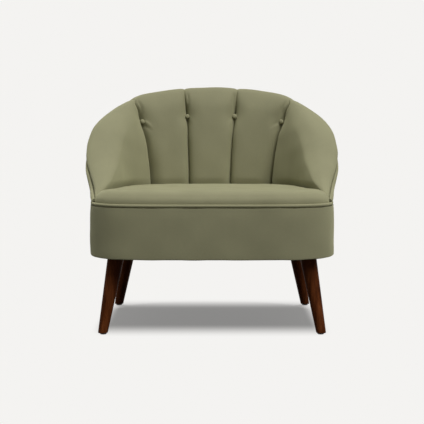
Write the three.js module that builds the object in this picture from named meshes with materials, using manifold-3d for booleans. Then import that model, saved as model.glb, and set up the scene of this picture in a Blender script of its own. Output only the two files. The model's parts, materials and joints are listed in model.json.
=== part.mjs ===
// Upholstered tub chair: a D-shaped sprung base on four splayed legs, and a padded tub that
// sweeps up from the seat's front corners to a channelled, buttoned back.
// Millimetres. X runs across the seat, Y from front to back, Z up from the floor.

import * as THREE from "three";
import { mergeVertices } from "three/addons/utils/BufferGeometryUtils.js";
import Module from "manifold-3d";

const wasm = await Module();
wasm.setup();

// Driving dimensions
const legHeight = 232; // floor to the underside of the base
const baseHeight = 153;
const baseHalfWidth = 373;
const baseFrontDepth = 350; // from the base's widest line to its front
const baseBackDepth = 325; // from the same line to its back
const rimRise = 373; // top of the base to the top of the back
const armEndRise = 11.2; // top of the base to the top of the arm where it runs out
const rimFlare = 37; // how far the rim leans out beyond the base
const backThickness = 132; // tub wall at seat level, in the middle of the back
const armThickness = 78; // tub wall at seat level, beside the sitter
const armEndThickness = 16; // tub wall where the arm runs out
const rimRadius = 36; // half the width of the padded roll along the rim
const rimRoll = 34; // top of the rim down to the seam on its outer side
const coverThickness = 1.6; // upholstery cloth with its backing
const gap = 0.3; // clearance between pieces that touch
const overrun = 5; // how far a cutter runs past what it cuts

// Shape numbers of the plan: 2 is an ellipse, higher is squarer
const frontSquareness = 5;
const backSquareness = 2.6;

// Angles round the plan, in degrees from the middle of the back; the middle of the front is 180
const quarterTurn = 90;
const halfTurn = 180;
const fullTurn = 360;
const innerSeam = 15; // angle of the seams on either side of the middle channel
const outerSeam = 45; // angle of the seams between the back and the arms
const tubEnd = 128; // angle where the arm runs out at the seat's front corner
const frontJoint = 133; // angle of the joint of the front and side rails
const backJoint = 62; // angle of the joint of the side and back rails
const postAngles = { back: 22, side: 66, front: 105 };
const legAngles = { back: 55.2, front: 126.7 };

// Columns of the lattice that every swept piece is built on, on one half of the plan
const backColumns = 9; // middle of the back to the outer seam
const armColumns = 9; // outer seam to the end of the arm
const frontColumnShares = [0.05, 0.1, 0.17, 0.25, 0.36, 0.52, 0.74, 1];
const rimRailColumns = 7; // columns of each arm that the rim rail runs along
const webbingColumns = { lower: 4, upper: 2 };

// Profiles along the tub, at stations given as shares of its half length
const stationShares = [0, 0.117, 0.234, 0.352, 0.469, 0.594, 0.727, 0.836, 0.953, 1];
const riseShares = [1, 0.994, 0.966, 0.915, 0.787, 0.624, 0.35, 0.18, 0.041, 0];
const flareShares = [0.67, 0.69, 0.74, 0.82, 0.93, 1, 0.94, 0.3, 0.05, 0.02];
const armShare = 0.7; // where the tub wall has come down to the arm's thickness

// Padded face of the tub
const leanSlope = 0.2; // lean of the inner face above the seat
const innerReachShare = 0.5; // height over which the inner face keeps that lean
const crownReachShare = 0.85; // width over which the roll stays level at its top
const rollReachShare = 0.55; // fullness of the roll on its outer side
const rollShare = 0.5; // most that the roll may take of the rise
const innerPitchShares = [0, 0.08, 0.2, 0.34, 0.48, 0.6, 0.7, 0.8, 0.9, 1];
const rollPitchShares = [0.3, 0.55, 0.8, 1];
const channelSwell = 7;
const channelFullness = 3; // a power: higher keeps a channel flat for longer between its seams
const armFullness = 8; // the same power for an arm
const seamPinch = 7;
const swellStart = 46; // height above the base where the channels begin to swell
const swellRun = 70;
const rimHoldShare = 0.4; // of the swell and the pinch that is left on the rim
const rimHoldStartShare = 0.8; // of the rise, where they begin to settle

// Buttons
const buttonHeightShares = { inner: 0.745, outer: 0.77 }; // of the rim's rise at that seam
const tuftDepth = 6;
const tuftReach = 34;
const buttonRadius = 8;
const buttonRim = 2;
const buttonDome = 5;
const buttonSink = 1.5; // back of the button below the cloth at the seam
const buttonShankRadius = 2;
const buttonShankLength = 14;
const buttonDomeSteps = 3;
const buttonSides = 12;

// Base
const borderSwell = 6; // how far the padded border stands out below the seat
const borderTuck = 1; // how far its lower edge turns in
const borderHeightShares = [1, 0.8, 0.5, 0.15, 0.04];
const borderSwellShares = [0, 0.6, 1, 1, 0.75];
const borderReturn = 25; // cloth turned in under the rails
const paddingThickness = 6;
const railThickness = 22;
const blockWidth = 104;
const blockDepth = 104;
const blockThickness = 38;
const dustCoverThickness = 0.8;
const dustCoverInset = 10;

// Frame of the tub
const postWidth = 44;
const postRelief = 1.2; // room over a post for the twist of the rim rail's underside
const rimRailDepth = 26;
const rimRailShare = 0.75; // most of the height under the roll that the rim rail may take
const foamBackShares = [0.3, 0.65];
const webbingEase = 0.7; // room between the frame and the webbing for the twist of the wall
const foamEase = 0.9; // the same between the webbing and the foam
const rollPadding = 7; // between the rim rail and the cloth on its outer side
const webbingThickness = 1.5;
const webbingWidth = 50;
const webbingHeightShares = { lower: 0.17, upper: 0.6 }; // of the rise, to the lower edge
const outerBow = 3; // how far the outer cloth stands out between the base and the rim
const outerPitchShares = [0, 0.25, 0.5, 0.75, 1];

// Seat
const seatPeak = 48; // height of the seat's middle above the base
const seatFrontEdge = 13;
const seatBackEdge = 42;
const seatEdgeTurn = 103; // angle where the seat's edge begins to drop towards the front
const seatRingShares = [0.5, 0.76, 0.9, 0.97, 1];
const crownPower = 6; // a power: higher keeps the seat flat for longer towards its edge
const crownFall = 0.5; // a power: lower rounds the edge more
const pipingRadius = 5;
const pipingSides = 8;
const pipingStandOff = 3.4; // how far the piping stands out from the base
const pipingStart = 1.4; // angle between the end of the arm and the piping

// Seat springs
const springCount = 5;
const springPitch = 100;
const springWireRadius = 1.9;
const springSwing = 24; // half the width of the zigzag
const springBends = 12;
const springBendSteps = 2;
const springSides = 5;
const springLead = 9; // straight end in its clip
const stripThickness = 5;
const stripHeight = 20;
const stripDrop = 4; // top of a clip strip below the top of the rails
const stripMargin = 8; // strip beyond the outermost spring
const springClothThickness = 1;

// Legs and their fixings
const frontLegInset = 67; // base's outer face in to the middle of a leg, under the base
const backLegInset = 43;
const frontLegLean = 0.16; // outward run for each unit of height
const backLegLean = 0.195;
const legRake = 0.2; // forward or backward run for each unit of height
const legTopRadius = 24;
const legFootRadius = 13;
const legFootChamfer = 2;
const legSides = 20;
const glideRadius = 10;
const glideHeight = 4;
const glideChamfer = 1;
const glidePinRadius = 1.5;
const glidePinLength = 14;
const boltRadius = 4;
const boltGrip = 42; // length of bolt in the leg
const boltChamfer = 1;
const boltProud = 3; // bolt above its nut
const boltSides = 10;
const nutFlangeRadius = 11;
const nutFlangeThickness = 1.6;
const nutBarrelRadius = 5.4;
const nutBarrelLength = 9;

// Levels
const waist = legHeight + baseHeight;
const railBottom = legHeight + coverThickness + gap;
const blockTop = railBottom + blockThickness;
const dustCoverTop = legHeight - gap;
const dustCoverBottom = dustCoverTop - dustCoverThickness;
const legTop = dustCoverBottom - gap;
const legBottom = glideHeight + gap;
const tubBottom = waist + gap;
const stripTop = waist - stripDrop;

// Depths in from the base's outer face
const clothDepth = coverThickness + gap;
const railStart = clothDepth + paddingThickness + gap;
const railInner = railStart + railThickness;
const stripInner = railInner + gap + stripThickness;
const seatInset = 2 * pipingRadius - pipingStandOff + gap;

const sameAngle = 1e-6;
const seamGap = THREE.MathUtils.radToDeg(gap / 2 / baseBackDepth);

const clamp = (x, low, high) => Math.min(high, Math.max(low, x));
const mix = (a, b, t) => a + (b - a) * t;

function ease(x) {
  const t = clamp(x, 0, 1);
  return t * t * (3 - 2 * t);
}

/** A smooth curve through the points (xs, ys), read at x. */
function smoothTable(xs, ys, x) {
  const last = xs.length - 1;
  let i = 0;
  while (i < last - 1 && x > xs[i + 1]) i += 1;
  const slope = (k) => {
    if (k === 0) return 0;
    const above = Math.min(last, k + 1);
    return (ys[above] - ys[k - 1]) / (xs[above] - xs[k - 1]);
  };
  const width = xs[i + 1] - xs[i];
  const t = clamp((x - xs[i]) / width, 0, 1);
  const rise = ys[i + 1] - ys[i];
  const early = slope(i) * width - rise;
  const late = rise - slope(i + 1) * width;
  return mix(ys[i], ys[i + 1], t) + t * (1 - t) * (early * (1 - t) + late * t);
}

// Plan of the base, and the lattice of columns round it

/** Point and outward normal of the base's outline at an angle from the middle of the back. */
function outlineAt(angle) {
  const turn = THREE.MathUtils.degToRad(angle);
  const x = Math.sin(turn);
  const y = Math.cos(turn);
  const depth = y >= 0 ? baseBackDepth : baseFrontDepth;
  const power = y >= 0 ? backSquareness : frontSquareness;
  const sum = Math.abs(x / baseHalfWidth) ** power + Math.abs(y / depth) ** power;
  const point = new THREE.Vector2(x, y).multiplyScalar(sum ** (-1 / power));
  const normal = new THREE.Vector2(
    (Math.sign(point.x) * Math.abs(point.x / baseHalfWidth) ** (power - 1)) / baseHalfWidth,
    (Math.sign(point.y) * Math.abs(point.y / depth) ** (power - 1)) / depth,
  );
  return { point, normal: normal.normalize() };
}

/** Angle of a column of the arm, counted from the outer seam. */
function armColumn(i) {
  return mix(outerSeam, tubEnd, i / armColumns);
}

function makeColumnAngles() {
  const half = [];
  for (let i = 1; i <= backColumns; i += 1) half.push((outerSeam * i) / backColumns);
  for (let i = 1; i <= armColumns; i += 1) half.push(armColumn(i));
  for (const share of frontColumnShares) half.push(mix(tubEnd, halfTurn, share));
  const mirrored = half.slice(0, -1).reverse().map((angle) => -angle);
  return [...mirrored, 0, ...half];
}

const columnAngles = makeColumnAngles();
const repeatedAngles = [...columnAngles, ...columnAngles.map((angle) => angle + fullTurn)];

/** Column angles from one angle to another, with both ends. */
function anglesBetween(from, to) {
  const inside = repeatedAngles.filter((angle) => angle > from + sameAngle && angle < to - sameAngle);
  return [from, ...inside, to];
}

/** The columns on either side of an angle, and how far the angle lies between them. */
function columnsRound(angle) {
  const next = repeatedAngles.findIndex((other) => other >= angle - sameAngle);
  const high = repeatedAngles[next];
  if (Math.abs(high - angle) <= sameAngle) return { low: high, high, share: 0 };
  const low = repeatedAngles[next - 1];
  return { low, high, share: (angle - low) / (high - low) };
}

/** Point on the column at this angle, at a depth in from the outline and a height. */
function onColumn(angle, [depth, height]) {
  const { point, normal } = outlineAt(angle);
  return new THREE.Vector3(point.x - normal.x * depth, point.y - normal.y * depth, height);
}

/** A section's points in space. Between two columns they lie on the straight line across. */
function sectionInSpace(angle, section) {
  const { low, high, share } = columnsRound(angle);
  const start = section(low).map((place) => onColumn(low, place));
  if (share === 0) return start;
  const end = section(high).map((place) => onColumn(high, place));
  return start.map((point, i) => point.lerp(end[i], share));
}

function sectionFlat(angle, section) {
  const { low, high, share } = columnsRound(angle);
  const end = section(high);
  return section(low).map(([depth, height], i) => (
    new THREE.Vector2(mix(depth, end[i][0], share), mix(height, end[i][1], share))
  ));
}

// Solids

/** A geometry from points and triangles, with its faces turned outwards. */
function closedGeometry(points, triangles) {
  const crossed = new THREE.Vector3();
  let volume = 0;
  for (const [a, b, c] of triangles) {
    volume += points[a].dot(crossed.crossVectors(points[b], points[c]));
  }
  const facing = volume > 0 ? triangles : triangles.map(([a, b, c]) => [a, c, b]);
  const geometry = new THREE.BufferGeometry();
  geometry.setAttribute("position", new THREE.Float32BufferAttribute(points.flatMap((p) => p.toArray()), 3));
  geometry.setIndex(facing.flat());
  return geometry;
}

/** Two triangles on a quad, split along its shorter diagonal. */
function splitQuad(points, a, b, c, d) {
  const straight = points[a].distanceTo(points[c]) <= points[b].distanceTo(points[d]);
  return straight ? [[a, b, c], [a, c, d]] : [[a, b, d], [b, c, d]];
}

/** Quads between two rings of points that start at these places in the list. */
function bandBetween(points, first, second, size) {
  const faces = [];
  for (let j = 0; j < size; j += 1) {
    const k = (j + 1) % size;
    faces.push(...splitQuad(points, first + j, second + j, second + k, first + k));
  }
  return faces;
}

/** Sweeps a section of (depth, height) points from one angle to another, with flat ends. */
function sweep(from, to, section) {
  const rings = anglesBetween(from, to).map((angle) => sectionInSpace(angle, section));
  const size = rings[0].length;
  const last = (rings.length - 1) * size;
  const points = rings.flat();
  const faces = [];
  for (let first = 0; first < last; first += size) {
    faces.push(...bandBetween(points, first, first + size, size));
  }
  const startCap = sectionFlat(from, section);
  const clockwise = THREE.ShapeUtils.isClockWise(startCap);
  const capFace = (face, first, flipped) => {
    const [a, b, c] = face.map((i) => first + i);
    return flipped ? [c, b, a] : [a, b, c];
  };
  for (const face of THREE.ShapeUtils.triangulateShape(startCap, [])) {
    faces.push(capFace(face, 0, clockwise));
  }
  for (const face of THREE.ShapeUtils.triangulateShape(sectionFlat(to, section), [])) {
    faces.push(capFace(face, last, !clockwise));
  }
  return closedGeometry(points, faces);
}

/** The same all the way round the plan. */
function sweepRound(section) {
  const rings = columnAngles.map((angle) => sectionInSpace(angle, section));
  const size = rings[0].length;
  const points = rings.flat();
  const faces = rings.flatMap((ring, i) => (
    bandBetween(points, i * size, ((i + 1) % rings.length) * size, size)
  ));
  return closedGeometry(points, faces);
}

function rectangle(nearDepth, farDepth, low, high) {
  return () => [[nearDepth, low], [farDepth, low], [farDepth, high], [nearDepth, high]];
}

/** A solid between two middle points, through rings that each hold a point for every column. */
function nestedRings(firstMiddle, rings, lastMiddle) {
  const size = rings[0].length;
  const points = [...rings.flat(), firstMiddle, lastMiddle];
  const firstIndex = points.length - 2;
  const lastIndex = points.length - 1;
  const lastRing = (rings.length - 1) * size;
  const faces = [];
  for (let first = 0; first < lastRing; first += size) {
    faces.push(...bandBetween(points, first, first + size, size));
  }
  for (let i = 0; i < size; i += 1) {
    const j = (i + 1) % size;
    faces.push([firstIndex, i, j]);
    faces.push([lastIndex, lastRing + j, lastRing + i]);
  }
  return closedGeometry(points, faces);
}

/** A flat plate over the plan, inset from its outline by a depth for each column. */
function plate(depthAt, low, high) {
  const ring = (height) => columnAngles.map((angle) => onColumn(angle, [depthAt(angle), height]));
  const middle = new THREE.Vector3(0, 0, low);
  return nestedRings(middle, [ring(low), ring(high)], middle.clone().setZ(high));
}

function toSolid(geometry) {
  const bare = geometry.clone();
  bare.deleteAttribute("normal");
  bare.deleteAttribute("uv");
  const merged = mergeVertices(bare);
  return new wasm.Manifold(new wasm.Mesh({
    numProp: 3,
    vertProperties: merged.attributes.position.array,
    triVerts: new Uint32Array(merged.index.array),
  }));
}

function toGeometry(solid) {
  const mesh = solid.getMesh();
  const geometry = new THREE.BufferGeometry();
  geometry.setAttribute("position", new THREE.BufferAttribute(mesh.vertProperties, 3));
  geometry.setIndex(new THREE.BufferAttribute(mesh.triVerts, 1));
  return geometry;
}

function cut(geometry, cutters) {
  return toGeometry(cutters.reduce((solid, cutter) => solid.subtract(toSolid(cutter)), toSolid(geometry)));
}

/** A solid turned about Z from (radius, height) pairs, listed upwards, both ends on the axis. */
function turned(profile, sides) {
  const points = [];
  const faces = [];
  const inner = profile.slice(1, -1);
  for (const [radius, height] of inner) {
    for (let i = 0; i < sides; i += 1) {
      const turn = (2 * Math.PI * i) / sides;
      points.push(new THREE.Vector3(radius * Math.cos(turn), radius * Math.sin(turn), height));
    }
  }
  for (let row = 0; row < inner.length - 1; row += 1) {
    faces.push(...bandBetween(points, row * sides, (row + 1) * sides, sides));
  }
  const bottom = points.push(new THREE.Vector3(0, 0, profile[0][1])) - 1;
  const top = points.push(new THREE.Vector3(0, 0, profile.at(-1)[1])) - 1;
  const lastRow = (inner.length - 1) * sides;
  for (let i = 0; i < sides; i += 1) {
    const j = (i + 1) % sides;
    faces.push([bottom, i, j]);
    faces.push([top, lastRow + j, lastRow + i]);
  }
  return closedGeometry(points, faces);
}

function upright(radius, low, high, sides) {
  return turned([[0, low], [radius, low], [radius, high], [0, high]], sides);
}

// Looks and the group

const sage = { color: 0x7f7d60, roughness: 0.9, metalness: 0 };
const foam = { color: 0xe6dcb8, roughness: 1, metalness: 0 };
const beech = { color: 0xc9a878, roughness: 0.7, metalness: 0 };
const walnut = { color: 0x3a1c10, roughness: 0.4, metalness: 0 };
const zinc = { color: 0xb9bcc0, roughness: 0.35, metalness: 1 };
const springSteel = { color: 0x5a5c60, roughness: 0.45, metalness: 1 };
const blackCloth = { color: 0x1d1d1f, roughness: 1, metalness: 0 };
const darkPlastic = { color: 0x2b2523, roughness: 0.6, metalness: 0 };
const jute = { color: 0x8a7d5c, roughness: 1, metalness: 0 };

const chair = new THREE.Group();

function addPiece(name, geometry, look) {
  geometry.computeVertexNormals();
  const mesh = new THREE.Mesh(geometry, new THREE.MeshStandardMaterial(look));
  mesh.name = name;
  chair.add(mesh);
}

// Sections of the tub

/** Sizes of the tub at an angle. */
function tubAt(angle) {
  const share = Math.min(1, Math.abs(angle) / tubEnd);
  const rise = mix(armEndRise, rimRise, smoothTable(stationShares, riseShares, share));
  const flare = rimFlare * smoothTable(stationShares, flareShares, share);
  const beforeArm = mix(backThickness, armThickness, ease(share / armShare));
  const afterArm = mix(armThickness, armEndThickness, ease((share - armShare) / (1 - armShare)));
  const thickness = share < armShare ? beforeArm : afterArm;
  const radius = Math.min(rimRadius, thickness / 2);
  const seam = waist + rise - Math.min(rimRoll, rollShare * rise);
  return { rise, flare, thickness, radius, top: waist + rise, seam, frameScale: radius / rimRadius };
}

/** The face before its padding swells: up from the seat, over the rim, down to the outer seam. */
function plainFace(angle) {
  const { flare, thickness, radius, top, seam } = tubAt(angle);
  const crest = radius - flare;
  const reach = (top - tubBottom) * innerReachShare;
  const crown = mix(crest, thickness, crownReachShare * (radius / thickness));
  const inner = new THREE.CubicBezierCurve(
    new THREE.Vector2(thickness, tubBottom),
    new THREE.Vector2(thickness - reach * leanSlope, tubBottom + reach),
    new THREE.Vector2(crown, top),
    new THREE.Vector2(crest, top),
  );
  const roll = new THREE.CubicBezierCurve(
    new THREE.Vector2(crest, top),
    new THREE.Vector2(mix(crest, -flare, rollReachShare), top),
    new THREE.Vector2(-flare, mix(seam, top, rollReachShare)),
    new THREE.Vector2(-flare, seam),
  );
  return [
    ...innerPitchShares.map((share) => inner.getPoint(share)),
    ...rollPitchShares.map((share) => roll.getPoint(share)),
  ];
}

/** Direction away from the padding, at a point of a face. */
function outwardOf(face, i) {
  const before = face[Math.max(0, i - 1)];
  const after = face[Math.min(face.length - 1, i + 1)];
  const along = after.clone().sub(before).normalize();
  return new THREE.Vector2(along.y, -along.x);
}

/** Adds the place on the plain face, and its direction, where a button is drawn in. */
function seatButton(button) {
  const face = plainFace(button.angle);
  const height = waist + tubAt(button.angle).rise * button.share;
  const next = face.findIndex((point) => point.y >= height);
  const t = (height - face[next - 1].y) / (face[next].y - face[next - 1].y);
  const on = face[next - 1].clone().lerp(face[next], t);
  return { ...button, on, outward: outwardOf(face, next), root: outlineAt(button.angle).point };
}

const buttonPlaces = [
  { name: "back_button_1", angle: -outerSeam, share: buttonHeightShares.outer },
  { name: "back_button_2", angle: -innerSeam, share: buttonHeightShares.inner },
  { name: "back_button_3", angle: innerSeam, share: buttonHeightShares.inner },
  { name: "back_button_4", angle: outerSeam, share: buttonHeightShares.outer },
].map(seatButton);

/** How far the buttons draw the cloth in at a point of the face. */
function tuftAt(angle, point) {
  const root = outlineAt(angle).point;
  return buttonPlaces.reduce((depth, button) => {
    const away = Math.hypot(root.distanceTo(button.root), point.distanceTo(button.on));
    return depth + tuftDepth * Math.exp(-((away / tuftReach) ** 2));
  }, 0);
}

/** How far the channels stand out between their seams, less what the seams draw in. */
function channelAt(angle, height) {
  const fromMiddle = Math.abs(angle);
  const riseShare = (height - waist) / tubAt(angle).rise;
  const settled = mix(1, rimHoldShare, ease((riseShare - rimHoldStartShare) / (1 - rimHoldStartShare)));
  const started = settled * ease((height - waist - swellStart) / swellRun);
  if (fromMiddle > outerSeam) {
    const across = clamp((fromMiddle - outerSeam) / (tubEnd - outerSeam), 0, 1);
    return -started * seamPinch * (1 - across) ** (2 * armFullness);
  }
  const [near, far] = fromMiddle < innerSeam ? [-innerSeam, innerSeam] : [innerSeam, outerSeam];
  const across = Math.abs((2 * (fromMiddle - near)) / (far - near) - 1);
  return started * mix(channelSwell, -seamPinch, across ** channelFullness);
}

/** The finished face, less a depth under the cloth. Its two ends stay at their own heights. */
function paddedFace(angle, depth) {
  const face = plainFace(angle);
  const last = face.length - 1;
  return face.map((point, i) => {
    if (i === 0) return [point.x - depth, point.y];
    if (i === last) return [point.x + depth, point.y];
    const fade = 1 - (Math.max(0, i - innerPitchShares.length + 1) / rollPitchShares.length) ** 2;
    const swell = fade * channelAt(angle, point.y) - tuftAt(angle, point);
    const outward = outwardOf(face, i);
    return [point.x + outward.x * (swell - depth), point.y + outward.y * (swell - depth)];
  });
}

function innerCoverSection(angle) {
  return [...paddedFace(angle, 0), ...paddedFace(angle, coverThickness).reverse()];
}

/** The frame's zone in the tub wall: outer and inner depth at a height. */
function frameDepths(angle, height) {
  const { flare, seam, frameScale } = tubAt(angle);
  const share = (height - tubBottom) / (seam - tubBottom);
  const outer = mix(railStart * frameScale, rollPadding * frameScale - flare, share);
  return [outer, outer + railThickness * frameScale];
}

function frameSection(angle, low, high) {
  const [lowOuter, lowInner] = frameDepths(angle, low);
  const [highOuter, highInner] = frameDepths(angle, high);
  return [[lowOuter, low], [lowInner, low], [highInner, high], [highOuter, high]];
}

/** Heights of the rim rail's lower and upper edges. */
function rimRailHeights(angle) {
  const { seam } = tubAt(angle);
  const top = seam - gap;
  return [top - Math.min(rimRailDepth, rimRailShare * (seam - tubBottom)), top];
}

function rimRailSection(angle) {
  return frameSection(angle, ...rimRailHeights(angle));
}

function postSection(angle) {
  return frameSection(angle, tubBottom, rimRailHeights(angle)[0] - postRelief);
}

function webbingSection(heightShare) {
  return (angle) => {
    const low = waist + tubAt(angle).rise * heightShare;
    const high = low + webbingWidth;
    const lowDepth = frameDepths(angle, low)[1] + webbingEase;
    const highDepth = frameDepths(angle, high)[1] + webbingEase;
    return [
      [lowDepth, low],
      [lowDepth + webbingThickness, low],
      [highDepth + webbingThickness, high],
      [highDepth, high],
    ];
  };
}

/** Foam between the cloth and the webbing, folded over the rim rail. */
function tubFoamSection(angle) {
  const { flare, seam } = tubAt(angle);
  const shelf = seam + gap;
  const railLow = rimRailHeights(angle)[0];
  const between = foamBackShares.map((share) => mix(railLow, tubBottom, share));
  const behindWebbing = webbingEase + webbingThickness + foamEase;
  return [
    ...paddedFace(angle, clothDepth).slice(0, -1),
    [clothDepth - flare, shelf],
    ...[shelf, railLow, ...between, tubBottom].map((height) => (
      [frameDepths(angle, height)[1] + behindWebbing, height]
    )),
  ];
}

function outerCoverSection(angle) {
  const { flare, seam } = tubAt(angle);
  const top = seam - gap;
  const bow = outerBow * Math.min(1, (seam - waist) / rimRadius);
  const face = outerPitchShares.map((share) => (
    [-flare * share - bow * 4 * share * (1 - share), mix(tubBottom, top, share)]
  ));
  return [...face, ...face.map(([depth, height]) => [depth + coverThickness, height]).reverse()];
}

// Buttons

/** Turns a solid about Z to stand on the padded face, with its foot at the back of a button. */
function standOnFace(geometry, { angle, on, outward }) {
  const drawn = channelAt(angle, on.y) - tuftAt(angle, on) - buttonSink;
  const foot = onColumn(angle, [on.x + outward.x * drawn, on.y + outward.y * drawn]);
  const { normal } = outlineAt(angle);
  const axis = new THREE.Vector3(-normal.x * outward.x, -normal.y * outward.x, outward.y);
  geometry.applyQuaternion(new THREE.Quaternion().setFromUnitVectors(new THREE.Vector3(0, 0, 1), axis));
  return geometry.translate(foot.x, foot.y, foot.z);
}

function buttonPocket(button) {
  const shank = buttonShankRadius + gap;
  const wide = buttonRadius + gap;
  const top = buttonRim + buttonDome + overrun + tuftDepth;
  const bottom = -buttonShankLength - gap;
  const profile = [[0, bottom], [shank, bottom], [shank, -gap], [wide, -gap], [wide, top], [0, top]];
  return standOnFace(turned(profile, buttonSides), button);
}

function addButtons() {
  const dome = [];
  for (let i = 0; i <= buttonDomeSteps; i += 1) {
    const turn = (Math.PI / 2) * (i / (buttonDomeSteps + 1));
    dome.push([buttonRadius * Math.cos(turn), buttonRim + buttonDome * Math.sin(turn)]);
  }
  const profile = [
    [0, -buttonShankLength],
    [buttonShankRadius, -buttonShankLength],
    [buttonShankRadius, 0],
    [buttonRadius, 0],
    ...dome,
    [0, buttonRim + buttonDome],
  ];
  for (const button of buttonPlaces) {
    addPiece(button.name, standOnFace(turned(profile, buttonSides), button), sage);
  }
}

function addTub() {
  const covers = [
    { name: "left_arm_cover", from: -tubEnd, to: -outerSeam - seamGap },
    { name: "back_cover_left", from: -outerSeam + seamGap, to: -innerSeam - seamGap },
    { name: "back_cover_middle", from: -innerSeam + seamGap, to: innerSeam - seamGap },
    { name: "back_cover_right", from: innerSeam + seamGap, to: outerSeam - seamGap },
    { name: "right_arm_cover", from: outerSeam + seamGap, to: tubEnd },
  ];
  const foams = [
    { name: "left_arm_foam", from: -tubEnd, to: -outerSeam - seamGap },
    { name: "back_foam", from: -outerSeam + seamGap, to: outerSeam - seamGap },
    { name: "right_arm_foam", from: outerSeam + seamGap, to: tubEnd },
  ];
  const withPockets = ({ from, to }, section) => {
    const met = buttonPlaces.filter(({ angle }) => angle > from - 2 * seamGap && angle < to + 2 * seamGap);
    return cut(sweep(from, to, section), met.map(buttonPocket));
  };
  for (const cover of covers) addPiece(cover.name, withPockets(cover, innerCoverSection), sage);
  for (const pad of foams) addPiece(pad.name, withPockets(pad, tubFoamSection), foam);
  addPiece("outer_cover", sweep(-tubEnd, tubEnd, outerCoverSection), sage);
  const rimRailEnd = armColumn(rimRailColumns);
  addPiece("rim_rail", sweep(-rimRailEnd, rimRailEnd, rimRailSection), beech);
  for (const [place, share] of Object.entries(webbingHeightShares)) {
    const webbingEnd = armColumn(webbingColumns[place]);
    addPiece(`back_webbing_${place}`, sweep(-webbingEnd, webbingEnd, webbingSection(share)), jute);
  }
  const postHalfAngle = THREE.MathUtils.radToDeg(postWidth / 2 / baseHalfWidth);
  for (const [place, angle] of Object.entries(postAngles)) {
    for (const [side, sign] of [["left", -1], ["right", 1]]) {
      const middle = sign * angle;
      const post = sweep(middle - postHalfAngle, middle + postHalfAngle, postSection);
      addPiece(`${place}_post_${side}`, post, beech);
    }
  }
}

// Base

/** The border's outer face from the top down, less a depth under the cloth. */
function borderFace(depth) {
  return borderHeightShares.map((share, i) => (
    [depth - borderSwell * borderSwellShares[i], mix(legHeight, waist, share)]
  ));
}

function borderCoverSection() {
  const inside = legHeight + coverThickness;
  return [
    ...borderFace(0),
    [borderTuck, legHeight],
    [borderReturn, legHeight],
    [borderReturn, inside],
    [borderTuck + coverThickness, inside],
    ...borderFace(coverThickness).filter(([, height]) => height > inside).reverse(),
  ];
}

function paddingSection() {
  const inner = railStart - gap;
  return [
    ...borderFace(clothDepth).filter(([, height]) => height > railBottom),
    [borderTuck + clothDepth, railBottom],
    [inner, railBottom],
    [inner, waist],
  ];
}

function addBase() {
  addPiece("base_cover", sweepRound(borderCoverSection), sage);
  addPiece("base_padding", sweepRound(paddingSection), foam);
  const rail = rectangle(railStart, railInner, railBottom, waist);
  addPiece("back_rail", sweep(-backJoint + seamGap, backJoint - seamGap, rail), beech);
  addPiece("right_rail", sweep(backJoint + seamGap, frontJoint - seamGap, rail), beech);
  addPiece("left_rail", sweep(seamGap - frontJoint, -backJoint - seamGap, rail), beech);
  addPiece("front_rail", sweep(frontJoint + seamGap, fullTurn - frontJoint - seamGap, rail), beech);
}

// Seat

/** Depth of the seat's edge: against the tub, or behind the piping at the front. */
function seatDepth(angle) {
  return Math.abs(angle) <= tubEnd ? tubAt(angle).thickness + gap : seatInset;
}

const seatMiddle = onColumn(0, [seatDepth(0), 0]).lerp(onColumn(halfTurn, [seatInset, 0]), 1 / 2);

/** A ring of the seat's upper face, inset by a margin and lowered by the same. */
function seatRing(share, margin) {
  const crown = (1 - share ** crownPower) ** crownFall;
  return columnAngles.map((angle) => {
    const edge = onColumn(angle, [seatDepth(angle) + margin, 0]);
    const dropped = ease((Math.abs(angle) - seatEdgeTurn) / (frontJoint - seatEdgeTurn));
    const height = mix(mix(seatBackEdge, seatFrontEdge, dropped), seatPeak, crown);
    return seatMiddle.clone().lerp(edge, share).setZ(waist + height - margin);
  });
}

/** The seat's lower edge, inset by a margin. */
function seatFoot(margin, height) {
  return columnAngles.map((angle) => onColumn(angle, [seatDepth(angle) + margin, height]));
}

function pipingSection() {
  const section = [];
  for (let i = 0; i < pipingSides; i += 1) {
    const turn = (2 * Math.PI * (i + 1 / 2)) / pipingSides;
    section.push([
      pipingRadius * (1 + Math.cos(turn)) - pipingStandOff,
      pipingRadius * (1 + Math.sin(turn)) + tubBottom,
    ]);
  }
  return section;
}

function addSeat() {
  const seatTop = seatMiddle.clone().setZ(waist + seatPeak);
  const lowered = (margin) => seatTop.clone().setZ(seatTop.z - margin);
  const upper = seatRingShares.map((share) => seatRing(share, 0));
  const under = seatRingShares.map((share) => seatRing(share, coverThickness)).reverse();
  const hem = [seatFoot(0, tubBottom), seatFoot(coverThickness, tubBottom)];
  addPiece("seat_cover", nestedRings(seatTop, [...upper, ...hem, ...under], lowered(coverThickness)), sage);

  const foamBottom = tubBottom + springClothThickness + gap;
  const foamRings = seatRingShares.map((share) => seatRing(share, clothDepth));
  foamRings.push(seatFoot(clothDepth, foamBottom));
  const foamFloor = seatMiddle.clone().setZ(foamBottom);
  addPiece("seat_foam", nestedRings(lowered(clothDepth), foamRings, foamFloor), foam);

  const cloth = plate((angle) => seatDepth(angle) + clothDepth, tubBottom, tubBottom + springClothThickness);
  addPiece("spring_cloth", cloth, jute);

  const start = tubEnd + pipingStart;
  addPiece("seat_piping", sweep(start, fullTurn - start, pipingSection), sage);
}

// Seat springs

/** Where a line at this depth in the base crosses a width, between two angles. */
function crossing(depth, x, from, to) {
  const line = anglesBetween(from, to).map((angle) => sectionInSpace(angle, () => [[depth, 0]])[0]);
  const next = line.findIndex((point, i) => i > 0 && (point.x - x) * (line[i - 1].x - x) <= 0);
  const t = (x - line[next - 1].x) / (line[next].x - line[next - 1].x);
  return mix(line[next - 1].y, line[next].y, t);
}

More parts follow.
